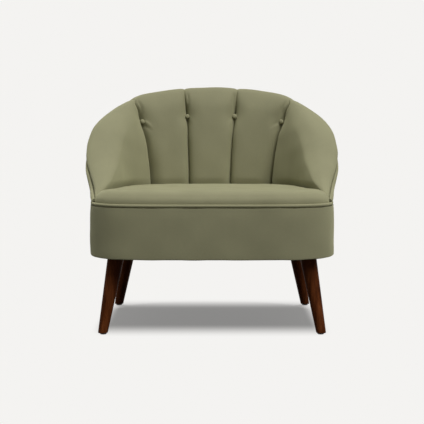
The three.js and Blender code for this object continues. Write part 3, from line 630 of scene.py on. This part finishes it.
def plain_face(angle, pitch):
    """Depths and heights from the seat at pitch 0, over the crest at 1, to the outer seam at 2."""
    rise, flare, thickness, radius, seam = tub_at(angle)
    top, bottom = WAIST + rise, bottom_at(angle)
    crest = radius - flare
    over_arm = (np.abs(angle) - ARM_REACH_TURNS[0]) / (ARM_REACH_TURNS[1] - ARM_REACH_TURNS[0])
    reach = (top - bottom) * mix(BACK_REACH_SHARE, ARM_REACH_SHARE, ease(over_arm))
    crown = mix(crest, thickness, CROWN_REACH_SHARE * radius / thickness)
    lean = thickness - reach * LEAN_SLOPE
    roll = mix(crest, -flare, ROLL_REACH_SHARE)
    shoulder = mix(seam, top, ROLL_REACH_SHARE)
    inner, over = clamp(pitch), clamp(pitch - 1)
    inner_depth = bezier(thickness, lean, crown, crest, inner)
    inner_height = bezier(bottom, bottom + reach, top, top, inner)
    depth = np.where(pitch <= 1, inner_depth, bezier(crest, roll, -flare, -flare, over))
    height = np.where(pitch <= 1, inner_height, bezier(top, top, shoulder, seam, over))
    return depth, height


def outward(depth, height):
    """Direction away from the padding, in depth and height, along a face's rows."""
    along_depth, along_height = np.gradient(depth, axis=-1), np.gradient(height, axis=-1)
    size = np.maximum(np.hypot(along_depth, along_height), TINY)
    return along_height / size, -along_depth / size


def leaned(angle, pitch):
    """Angles along the columns, which wander to either side as the seams do."""
    knots = [-LEAN_END, *LEANS, LEAN_END]
    wander = 0
    for number, leans in enumerate(LEANS.values(), 1):
        share = np.interp(angle, knots, np.eye(len(knots))[number])
        wander = wander + share * smooth_table(LEAN_PITCHES, leans, pitch)
    return angle + wander


def apart(angle, seam):
    """Distances in the plan from the column of a seam."""
    return np.linalg.norm(outline(angle)[0] - outline(np.array(float(seam)))[0], axis=-1)


def panel_edge(angle):
    """The pitch at which the outer panel ends."""
    return np.minimum(2, smooth_table(WRAP_TURNS, WRAP_PITCHES, np.abs(angle)))


class Button:
    """Where a button is drawn in: on which seam, and at which point of the plain face."""

    def __init__(self, name, seam, height_share, fold_turn, fold_strength):
        self.name = name
        self.seam = seam
        self.fold = (math.radians(fold_turn), fold_strength)
        pitch = np.linspace(0, 1, PROFILE_POINTS)
        angle = leaned(np.full(PROFILE_POINTS, float(seam)), pitch)
        depth, height = plain_face(angle, pitch)
        self.height = WAIST + tub_at(np.array(float(seam))).rise * height_share
        at = int(np.argmax(height >= self.height))
        across, up = outward(depth, height)
        point, normal = outline(angle[at])
        self.depth = depth[at]
        self.place = point - normal * depth[at]
        self.axis = np.array([*(-normal * across[at]), up[at]])


# The last two numbers are the fold's direction, in degrees up from the right, and its strength
BUTTONS = [
    Button("velvet_button_1", -OUTER_SEAM, BUTTON_HEIGHT_SHARES["outer"], -50, 1),
    Button("velvet_button_2", -INNER_SEAM, BUTTON_HEIGHT_SHARES["inner"], -62, 0.3),
    Button("velvet_button_3", INNER_SEAM, BUTTON_HEIGHT_SHARES["inner"], 235, 0.25),
    Button("velvet_button_4", OUTER_SEAM, BUTTON_HEIGHT_SHARES["outer"], 222, 0.4),
]


def pleat_at(inwards, above, rise_share):
    """Depth of the pleat over a button, which bends towards the middle and ends at the rim."""
    pleat = hump(inwards - PLEAT_OFFSET * ease(above / PLEAT_RUN), PLEAT_WIDTH)
    below_rim = ease((PLEAT_END_SHARE - rise_share) / PLEAT_FADE_SHARE)
    ends = ease(above / (2 * BUTTON_RADIUS)) * below_rim
    return PLEAT_DEPTH * pleat * ends * (inwards > 0)


def fold_at(fold, right, above):
    """Height of the fold beside a button, raised on one flank and sunk on the other."""
    turn, strength = fold
    forward = right * math.cos(turn) + above * math.sin(turn)
    sideways = above * math.cos(turn) - right * math.sin(turn)
    tapered = ease(forward / BUTTON_RADIUS) * (1 - ease(forward / FOLD_LENGTH))
    crossing = 2 * sideways / FOLD_WIDTH * hump(sideways, FOLD_WIDTH)
    return FOLD_DEPTH * strength * tapered * crossing


def drawn_in(angle, depth, height):
    """How far the buttons draw the cloth in, with the pleat over each and the fold beside it."""
    drawn = np.zeros_like(height)
    rise_share = (height - WAIST) / tub_at(angle).rise
    for button in BUTTONS:
        along = apart(angle, button.seam)
        above = height - button.height
        right = along * np.sign(angle - button.seam)
        inwards = -right * np.sign(button.seam)
        off = np.hypot(depth - button.depth, above)
        drawn += TUFT_DEPTH * hump(np.hypot(along, off), TUFT_REACH)
        drawn += pleat_at(inwards, above, rise_share)
        drawn -= fold_at(button.fold, right, above) * (inwards > 0)
    return drawn


def arm_swell(from_middle, stuffed):
    over_arm = clamp((from_middle - OUTER_SEAM) / (TUB_END - OUTER_SEAM))
    return ARM_SWELL * stuffed * arch(over_arm) - ARM_PINCH * (1 - over_arm) ** ARM_FULLNESS


def channel_swell(from_middle, stuffed, rise_share):
    near = np.where(from_middle < INNER_SEAM, -INNER_SEAM, INNER_SEAM)
    far = np.where(from_middle < INNER_SEAM, INNER_SEAM, OUTER_SEAM)
    across = 2 * (from_middle - near) / (far - near) - 1
    edge = np.abs(across) ** CHANNEL_FULLNESS
    behind_arm = (from_middle > INNER_SEAM) & (across > 0)
    pinch = CHANNEL_PINCH + OUTER_PINCH * behind_arm * (1 - ease(rise_share / OUTER_PINCH_RISE))
    return CHANNEL_SWELL * stuffed * (1 - edge) - pinch * edge


def swell_at(angle, height):
    """How far the padding stands out at angles and heights, less what the seams draw in."""
    from_middle = np.abs(angle)
    rise_share = (height - WAIST) / tub_at(angle).rise
    stuffed = ease((height - WAIST - SWELL_START) / SWELL_RUN)
    arm = arm_swell(from_middle, stuffed)
    channel = channel_swell(from_middle, stuffed, rise_share)
    swell = np.where(from_middle > OUTER_SEAM, arm, channel)
    late = ease((rise_share - RIM_HOLD_START_SHARE) / (1 - RIM_HOLD_START_SHARE))
    creases = sum(np.exp(-apart(angle, seam) / CREASE_REACH) for seam in LEANS)
    crease = CREASE_DEPTH * mix(1, CREASE_RIM_SHARE, late) * creases
    return mix(1, RIM_HOLD_SHARE, late) * swell - crease


def panel_columns(start, end):
    """Angles across a panel, closer together at its seams."""
    width = math.radians(end - start) * BASE_HALF_WIDTH
    even = np.linspace(0, 1, math.ceil(width / PANEL_STEP) + 1)
    return mix(start, end, mix(even, ease(even), SEAM_CLUSTER))[:, None]


def pad_front(angle):
    """The finished face of a pad, as a grid of points."""
    share = np.concatenate([np.linspace(0, 1, INNER_ROWS), np.linspace(1, 2, ROLL_ROWS + 1)[1:]])
    pitch = share * panel_edge(angle) / 2
    turned = leaned(angle, pitch)
    depth, height = plain_face(turned, pitch)
    across, up = outward(depth, height)
    moved = swell_at(angle, height) - drawn_in(angle, depth, height)
    moved *= 1 - clamp(share - 1) ** 2
    moved += EDGE_PROUD * ease(share - 1) - EDGE_TUCK * np.exp((share - 2) / PAD_TUCK_RUN)
    on_arm = ease((np.abs(angle) - ARM_TUCK_TURNS[0]) / (ARM_TUCK_TURNS[1] - ARM_TUCK_TURNS[0]))
    moved -= ARM_TUCK * on_arm * np.exp((share - 2) / ARM_TUCK_RUN)
    moved[:, 0] = 0
    return on_columns(turned, depth + across * moved, height + up * moved)


def pad_back(angle):
    """The back of a pad: up the webbing and the frame, then out over the rim rail."""
    _, flare, _, radius, seam = tub_at(angle)
    share = np.linspace(0, 1, INNER_ROWS + ROLL_ROWS)
    scale = radius / RIM_RADIUS
    shelf = seam + GAP
    up = clamp(share / PAD_BACK_SHARE)
    bottom = bottom_at(angle)
    height = mix(bottom, shelf, up)
    frame_share = (height - bottom) / (seam - bottom)
    outer = mix(RAIL_START * scale, ROLL_PADDING * scale - flare, frame_share)
    depth = outer + (RAIL_THICKNESS + BEHIND_WEBBING) * scale
    over = clamp((share - PAD_BACK_SHARE) / (1 - PAD_BACK_SHARE))
    return on_columns(angle, mix(depth, CLOTH_DEPTH - flare, over), height)


def add_pads():
    """The pads of the arms and the three channels between them, from seam to seam."""
    pads = {
        "left_arm_pad": ["left_arm_cover", "left_arm_foam"],
        "left_channel": ["back_cover_left"],
        "middle_channel": ["back_cover_middle", "back_foam"],
        "right_channel": ["back_cover_right"],
        "right_arm_pad": ["right_arm_cover", "right_arm_foam"],
    }
    starts = [-ARM_STOP, *(seam + SEAM_GAP for seam in LEANS)]
    ends = [*(seam - SEAM_GAP for seam in LEANS), ARM_STOP]
    for (name, replaced), start, end in zip(pads.items(), starts, ends):
        angle = panel_columns(start, end)
        shape = between(rippled(pad_front(angle)), pad_back(angle))
        add_piece(name, shape, VELVET, replaced)


def outer_face(angle, along):
    """Depths and heights from the base at 0, up to the outer seam at 1, and on over the rim.

    Past the seam the panel follows the padded face, at a pitch of 3 less how far along it is.
    """
    tub = tub_at(angle)
    on_wall = clamp(along)
    wall_height = mix(bottom_at(angle), tub.seam + EDGE_OVERLAP, on_wall)
    over_depth, over_height = plain_face(angle, 3 - np.maximum(along, 1))
    depth = np.where(along <= 1, -tub.flare * on_wall, over_depth)
    return depth, np.where(along <= 1, wall_height, over_height)


def outer_swell(angle, along):
    """How far the outer panel bows out, less what its edges and corner seams draw in."""
    bow = OUTER_BOW * clamp((tub_at(angle).seam - WAIST) / RIM_RADIUS) * arch(clamp(along))
    left = along[:, -1:] - along
    moved = bow - EDGE_TUCK * (np.exp(-left / PANEL_TUCK_RUN) + np.exp(-along / PANEL_TUCK_RUN))
    for corner in (-BACK_CORNER, BACK_CORNER):
        moved = moved - CORNER_SEAM_DEPTH * np.exp(-apart(angle, corner) / CREASE_REACH)
    return moved


def add_outer_panel():
    angle = np.linspace(-ARM_STOP, ARM_STOP, OUTER_COLUMNS)[:, None]
    along = np.linspace(0, 3 - panel_edge(angle[:, 0]), OUTER_ROWS, axis=-1)
    depth, height = outer_face(angle, along)
    across, up = outward(depth, height)
    moved = outer_swell(angle, along)
    front = on_columns(angle, depth - across * moved, height - up * moved)
    moved = moved - COVER_THICKNESS
    shape = between(front, on_columns(angle, depth - across * moved, height - up * moved))
    panel = add_piece("outer_panel", shape, VELVET, ["outer_cover"])


def add_buttons():
    turn = np.linspace(0, 2 * math.pi, BUTTON_SIDES, endpoint=False)
    pitch = np.linspace(0, 1, BUTTON_ROWS + 1)[:-1] * math.pi / 2
    puckers = 1 + BUTTON_PUCKER_SHARE * np.cos(BUTTON_PUCKERS * turn)
    neck = BUTTON_RADIUS * BUTTON_NECK_SHARE
    radii = [neck, BUTTON_RADIUS, *(BUTTON_RADIUS * np.cos(pitch))]
    levels = [-BUTTON_BACK, 0, *(BUTTON_RIM + BUTTON_DOME * np.sin(pitch))]
    gathered = [1, puckers, *(mix(puckers, 1, clamp(2 * p)) for p in pitch)]
    rings = np.stack([
        np.stack([r * g * np.cos(turn), r * g * np.sin(turn), np.full(len(turn), z)], -1)
        for r, z, g in zip(radii, levels, gathered)
    ])
    points, faces = capped([0, 0, -BUTTON_BACK], rings, [0, 0, BUTTON_RIM + BUTTON_DOME])
    drawn = -(SEAM_PINCH + TUFT_DEPTH + BUTTON_SINK)
    for number, button in enumerate(BUTTONS, 1):
        stand = np.array(Vector((0, 0, 1)).rotation_difference(Vector(button.axis)).to_matrix())
        place = np.array([*button.place, button.height]) + button.axis * drawn
        shape = (points @ stand.T + place, faces)
        add_piece(button.name, shape, VELVET, [f"back_button_{number}"])


# Base


def add_border():
    share = np.linspace(BORDER_EDGE_SHARE, 1, BORDER_ROWS)
    face_depth = -BORDER_SWELL * smooth_table(BORDER_HEIGHT_SHARES, BORDER_SWELL_SHARES, share)
    face_height = mix(LEG_HEIGHT, WAIST, share)
    t = np.linspace(0, 1, BORDER_EDGE_ROWS + 1)[:-1]
    edge = BORDER_EDGE_SHARE * BASE_HEIGHT
    edge_depth = bezier(BORDER_TUCK, -BORDER_SWELL / 2, face_depth[0], face_depth[0], t)
    edge_height = bezier(LEG_HEIGHT, LEG_HEIGHT, LEG_HEIGHT + edge / 3, face_height[0], t)
    inside = LEG_HEIGHT + COVER_THICKNESS
    returned = np.linspace(BORDER_RETURN, BORDER_TUCK, BORDER_RETURN_ROWS + 1)[:-1]
    depth = [[BORDER_RETURN], returned, edge_depth, face_depth, [BORDER_BACK, BORDER_BACK]]
    level = np.full(len(returned), LEG_HEIGHT)
    height = [[inside], level, edge_height, face_height, [WAIST, inside]]
    angle = round_angles()
    sections = on_columns(angle, np.concatenate(depth), np.concatenate(height))
    replaced = ["base_cover", "base_padding"]
    border = add_piece("base_border", looped(rippled(sections)), VELVET, replaced)


def plate(name, depth, low, high, sag, material, node):
    """A stretched sheet over the plan, inset by a depth."""
    edge = on_columns(round_angles(), depth, low)[:, 0]
    middle = np.array([*PLAN_SHIFT, low])
    share = np.linspace(0, 1, PLATE_RINGS + 1)[1:]
    rings = middle + share[:, None, None] * (edge - middle)
    drop = sag * clamp(1 - (share / DUST_COVER_SAG_SHARE) ** 2) ** 2
    rings[..., 2] -= drop[:, None]
    upper = rings[::-1] + [0, 0, high - low]
    centre = middle - [0, 0, sag]
    shape = capped(centre, np.concatenate([rings, upper]), centre + [0, 0, high - low])
    sheet = add_piece(name, shape, material, [node])


def seat_depth(angle):
    """Depth of the seat's edge: against the tub, or behind the piping at the front."""
    past_arm = ease((np.abs(angle) - SEAT_CORNER_START) / SEAT_CORNER_TURN)
    return mix(tub_at(angle).thickness + GAP, SEAT_INSET, past_arm)


def add_underside():
    top = LEG_HEIGHT - GAP
    low, sag = top - DUST_COVER_THICKNESS, DUST_COVER_SAG
    plate("bottom_cloth", DUST_COVER_INSET, low, top, sag, BLACK_CLOTH, "dust_cover")
    low, high = TUB_BOTTOM, TUB_BOTTOM + SPRING_CLOTH_THICKNESS
    depth = seat_depth(round_angles()) + CLOTH_DEPTH
    plate("spring_cover", depth, low, high, 0, JUTE, "spring_cloth")


# Seat


def coordinates(mesh):
    values = np.zeros(len(mesh.vertices) * 3)
    mesh.vertices.foreach_get("co", values)
    return values.reshape(-1, 3)


def shown_mesh(piece):
    """A piece's mesh as its modifiers leave it."""
    shown = piece.evaluated_get(bpy.context.evaluated_depsgraph_get())
    return bpy.data.meshes.new_from_object(shown)


def blown_up(points, faces):
    """Blows a closed form up as cloth: the points of an even mesh over it, and their moves."""
    mesh = bpy.data.meshes.new("trial")
    mesh.from_pydata(points.tolist(), [], faces)
    trial = bpy.data.objects.new("trial", mesh)
    scene = bpy.context.scene
    scene.collection.objects.link(trial)
    remesh = trial.modifiers.new("remesh", "REMESH")
    remesh.mode = "VOXEL"
    remesh.voxel_size = SEAT_VOXEL

    trial.data = shown_mesh(trial)
    trial.modifiers.clear()
    before = coordinates(trial.data)
    cloth = trial.modifiers.new("cloth", "CLOTH")
    cloth.settings.use_pressure = True
    cloth.settings.uniform_pressure_force = SEAT_PRESSURE
    cloth.settings.effector_weights.gravity = 0
    cloth.point_cache.frame_end = SETTLING_FRAMES
    for number in range(1, SETTLING_FRAMES + 1):
        scene.frame_set(number)
    moves = coordinates(shown_mesh(trial)) - before
    scene.frame_set(1)
    bpy.data.objects.remove(trial)
    return before, moves


def settled(points, faces):
    """How each point moves when the closed form is blown up and its cloth has settled."""
    before, moves = blown_up(points, faces)
    tree = KDTree(len(before))
    for i, place in enumerate(before):
        tree.insert(place, i)
    tree.balance()
    found = np.zeros_like(points)
    for i, place in enumerate(points):
        near = tree.find_n(place, SETTLING_NEIGHBOURS)
        weights = np.array([1 / (distance + SETTLING_BLUR) for _, _, distance in near])
        found[i] = weights @ moves[[index for _, index, _ in near]] / weights.sum()
    return found


def seat_form():
    """The seat's points and faces, and how freely each point may swell."""
    angle = round_angles()
    edge = on_columns(angle, seat_depth(angle), 0)[:, 0]
    edge_height = smooth_table(SEAT_EDGE_TURNS, SEAT_EDGE_HEIGHTS, np.abs(angle[:, 0]))
    dropped = (SEAT_EDGE_HEIGHTS[0] - edge_height) / (SEAT_EDGE_HEIGHTS[0] - SEAT_EDGE_HEIGHTS[-1])
    middle = np.array([0, (edge[:, 1].min() + edge[:, 1].max()) / 2, 0])
    share = np.sin(np.linspace(0, 1, SEAT_RINGS)[1:] * math.pi / 2)[:, None]
    shoulder = mix(SEAT_BACK_SHOULDER, SEAT_FRONT_SHOULDER, dropped)
    roll = SEAT_ROUNDNESS * (shoulder - edge_height) / np.linalg.norm(edge - middle, axis=1)
    over = clamp((share - 1 + roll) / np.maximum(roll, TINY))
    rings = middle + share[..., None] * (edge - middle)
    dome = (SEAT_PEAK - shoulder) * (1 - share**2)
    rings[..., 2] = WAIST + mix(edge_height, shoulder, np.sqrt(1 - over**SEAT_SOFTNESS)) + dome
    floor_level = TUB_BOTTOM + SPRING_CLOTH_THICKNESS + GAP
    wall = np.repeat(edge[None], len(SEAT_WALL_SHARES), axis=0)
    for row, t in enumerate(SEAT_WALL_SHARES):
        wall[row, :, 2] = mix(WAIST + edge_height, floor_level, t)
    under = middle + np.array(SEAT_UNDER_SHARES)[:, None, None] * (edge - middle)
    under[..., 2] = floor_level
    top = middle + [0, 0, WAIST + SEAT_PEAK]
    bottom = middle + [0, 0, floor_level]
    points, faces = capped(top, np.concatenate([rings, wall, under]), bottom)
    hold = mix(SEAT_BACK_HOLD_SHARE, SEAT_FRONT_HOLD_SHARE, dropped)
    free = np.zeros(len(points))
    free[: rings[..., 0].size] = ease((1 - share) / hold).ravel()
    free[-2] = 1  # the top's middle
    return points, faces, free


def add_seat():
    points, faces, free = seat_form()
    moves = settled(points, faces)
    size = np.linalg.norm(moves, axis=1, keepdims=True)
    short_moves = moves * SEAT_SWELL / np.maximum(size, SEAT_SWELL)
    points = points + short_moves * free[:, None]
    shape = (rippled(points), faces)
    seat = add_piece("seat_pad", shape, VELVET, ["seat_cover", "seat_foam"])


def add_piping():
    """The piping runs along the front and tucks under the arms at both ends."""
    lower, upper = PIPING_RADIUS - PIPING_STAND_OFF, TUB_BOTTOM + PIPING_LIFT + PIPING_RADIUS
    run = np.linspace(PIPING_TURN, FULL_TURN - PIPING_TURN, PIPING_COLUMNS)
    tuck = np.linspace(0, 1, PIPING_TUCK_COLUMNS + 1)[1:]
    end_angle = PIPING_TURN - PIPING_TUCK_TURN * tuck
    end_depth = lower + PIPING_TUCK_DEPTH * ease(tuck)
    angle = np.concatenate([end_angle[::-1], run, FULL_TURN - end_angle])
    depth = np.concatenate([end_depth[::-1], np.full(len(run), lower), end_depth])
    shape = tube(on_columns(angle, depth, upper), PIPING_RADIUS, PIPING_SIDES)
    add_piece("seat_welt", shape, VELVET, ["seat_piping"])


# Legs


def add_legs():
    turn = np.linspace(0, 2 * math.pi, LEG_SIDES, endpoint=False)
    level = np.linspace(LEG_BOTTOM + LEG_FOOT_EDGE, LEG_TOP, LEG_ROWS)
    share = (level - LEG_BOTTOM) / (LEG_TOP - LEG_BOTTOM)
    corner = np.linspace(0, math.pi / 2, LEG_EDGE_ROWS + 1)[:-1]
    foot = LEG_FOOT_RADIUS - LEG_FOOT_EDGE * (1 - np.sin(corner))
    levels = np.concatenate([LEG_BOTTOM + LEG_FOOT_EDGE * (1 - np.cos(corner)), level])
    radii = np.concatenate([foot, mix(LEG_FOOT_RADIUS, LEG_TOP_RADIUS, share)])
    for end in ("front", "back"):
        for side, sign in (("left", -1), ("right", 1)):
            x, y, _ = on_columns(sign * LEG_ANGLES[end], LEG_INSETS[end], 0.0)
            drop = LEG_TOP - levels
            centre_x = x + sign * LEG_LEANS[end] * drop
            centre_y = y + (LEG_RAKE if end == "back" else -LEG_RAKE) * drop
            rings = np.stack([
                centre_x[:, None] + radii[:, None] * np.cos(turn),
                centre_y[:, None] + radii[:, None] * np.sin(turn),
                np.repeat(levels[:, None], LEG_SIDES, axis=1),
            ], -1)
            foot_point = [centre_x[0], centre_y[0], levels[0]]
            shape = capped(foot_point, rings, [x, y, LEG_TOP])
            add_piece(f"{end}_{side}_turned_leg", shape, WALNUT, [f"{end}_{side}_leg"])


# Setting

BACKDROP = (0.905, 0.896, 0.879)
FLOOR_SIZE = 30
FLOOR_BOUNCE = (0.12, 0.12, 0.12)
FLOOR_GLOW = 0.25
SHADOW_MIDDLE = (-0.004, 0.02)
SHADOW_FADES = ((0.31, 0.372), (0.14, 0.355))  # from where to where, out from the middle
AMBIENT = 0.14

# Lamps: the way each shines, its strength and its width in degrees
FLOOR_LAMP = ((0, 0, -1), 2.3, 20)
LAMPS = {
    "top_light": ((0, 0, -1), 1.15, 30),
    "key_light": ((-0.44, 0.54, -0.83), 2.42, 40),
    "left_light": ((0.8, 0.2, -0.7), 0.3, 40),
    "back_light": ((0, -1, -0.15), 0.7, 40),
}

CAMERA_PLACE = (0, -3.4339, 0.629)
CAMERA_PITCH = 4.712
CAMERA_LENS = 89.98


def pale_floor():
    """Lit under and round the chair, where its shadow falls, and an even glow beyond."""
    look = Look("pale_floor", 1)
    look.tree.nodes.remove(look.shader)
    rays = look.node("ShaderNodeLightPath").outputs
    seen = look.math("MAXIMUM", rays["Is Camera Ray"], rays["Is Glossy Ray"])
    shown = look.node("ShaderNodeBsdfDiffuse", {"Color": (*BACKDROP, 1)}).outputs[0]
    unseen = look.node("ShaderNodeBsdfDiffuse", {"Color": (*FLOOR_BOUNCE, 1)}).outputs[0]
    flat = look.node("ShaderNodeEmission", {"Color": (*BACKDROP, 1)}).outputs[0]
    place = look.node("ShaderNodeSeparateXYZ", {0: look.place}).outputs
    shade = 1 - FLOOR_GLOW
    for axis, (middle, (start, end)) in enumerate(zip(SHADOW_MIDDLE, SHADOW_FADES)):
        away = look.math("ABSOLUTE", look.math("SUBTRACT", place[axis], middle), 0)
        inputs = {"Value": away, "From Min": start, "From Max": end, "To Min": 1, "To Max": 0}
        near = look.node("ShaderNodeMapRange", inputs, interpolation_type="SMOOTHSTEP").outputs[0]
        shade = look.math("MULTIPLY", shade, near)
    near_or_far = look.node("ShaderNodeMixShader", {0: shade, 1: flat, 2: shown}).outputs[0]
    surface = look.node("ShaderNodeMixShader", {0: seen, 1: unseen, 2: near_or_far}).outputs[0]
    look.tree.links.new(surface, look.tree.nodes["Material Output"].inputs["Surface"])
    return look.material


def add_floor():
    mesh = bpy.data.meshes.new("floor")
    half = FLOOR_SIZE / 2
    corners = [(-half, -half, 0), (half, -half, 0), (half, half, 0), (-half, half, 0)]
    mesh.from_pydata(corners, [], [(0, 1, 2, 3)])
    mesh.materials.append(pale_floor())
    floor = bpy.data.objects.new("floor", mesh)
    bpy.context.scene.collection.objects.link(floor)
    return floor


def add_world():
    world = bpy.data.worlds.new("studio")
    bpy.context.scene.world = world
    world.use_nodes = True
    tree = world.node_tree
    lit = tree.nodes["Background"]
    lit.inputs["Color"].default_value = (1, 1, 1, 1)
    lit.inputs["Strength"].default_value = AMBIENT
    seen = tree.nodes.new("ShaderNodeBackground")
    seen.inputs["Color"].default_value = (*BACKDROP, 1)
    rays = tree.nodes.new("ShaderNodeLightPath")
    either = tree.nodes.new("ShaderNodeMath")
    either.operation = "MAXIMUM"
    tree.links.new(rays.outputs["Is Camera Ray"], either.inputs[0])
    tree.links.new(rays.outputs["Is Glossy Ray"], either.inputs[1])
    both = tree.nodes.new("ShaderNodeMixShader")
    tree.links.new(either.outputs[0], both.inputs[0])
    tree.links.new(lit.outputs[0], both.inputs[1])
    tree.links.new(seen.outputs[0], both.inputs[2])
    tree.links.new(both.outputs[0], tree.nodes["World Output"].inputs["Surface"])


def add_sun(name, towards, strength, softness):
    """A distant soft lamp that shines along a direction."""
    lamp = bpy.data.lights.new(name, "SUN")
    lamp.energy = strength
    lamp.angle = math.radians(softness)
    sun = bpy.data.objects.new(name, lamp)
    sun.rotation_euler = Vector(towards).to_track_quat("-Z", "Y").to_euler()
    bpy.context.scene.collection.objects.link(sun)
    return sun


def flag(lamp, floor, state):
    """Flags a lamp: it lights only the floor (INCLUDE) or everything but the floor (EXCLUDE)."""
    flagged = bpy.data.collections.new(f"{lamp.name}_flag")
    flagged.objects.link(floor)
    flagged.collection_objects[0].light_linking.link_state = state
    lamp.light_linking.receiver_collection = flagged


def add_lamps(floor):
    """Soft lamps round the chair, and one overhead for its shadow on the floor."""
    flag(add_sun("floor_light", *FLOOR_LAMP), floor, "INCLUDE")
    for name, lamp in LAMPS.items():
        flag(add_sun(name, *lamp), floor, "EXCLUDE")


def add_camera():
    camera = bpy.data.objects.new("camera", bpy.data.cameras.new("camera"))
    camera.data.lens = CAMERA_LENS
    camera.location = CAMERA_PLACE
    camera.rotation_euler = (math.radians(QUARTER_TURN - CAMERA_PITCH), 0, 0)
    bpy.context.scene.collection.objects.link(camera)
    bpy.context.scene.camera = camera


def dress_frame():
    """Gives the CAD nodes that stay their own materials."""
    slots = {part["node"]: part["material_slot"] for part in frame["record"]["subparts"]}
    for name, node in frame["nodes"].items():
        look = SLOT_LOOKS.get(slots[name])
        if look:
            for material_slot in node.material_slots:
                material_slot.material = look


add_camera()
dress_frame()
add_pads()
add_outer_panel()
add_buttons()
add_border()
add_underside()
add_seat()
add_piping()
add_legs()
floor = add_floor()
add_world()
add_lamps(floor)
bpy.context.scene.view_settings.view_transform = "Standard"
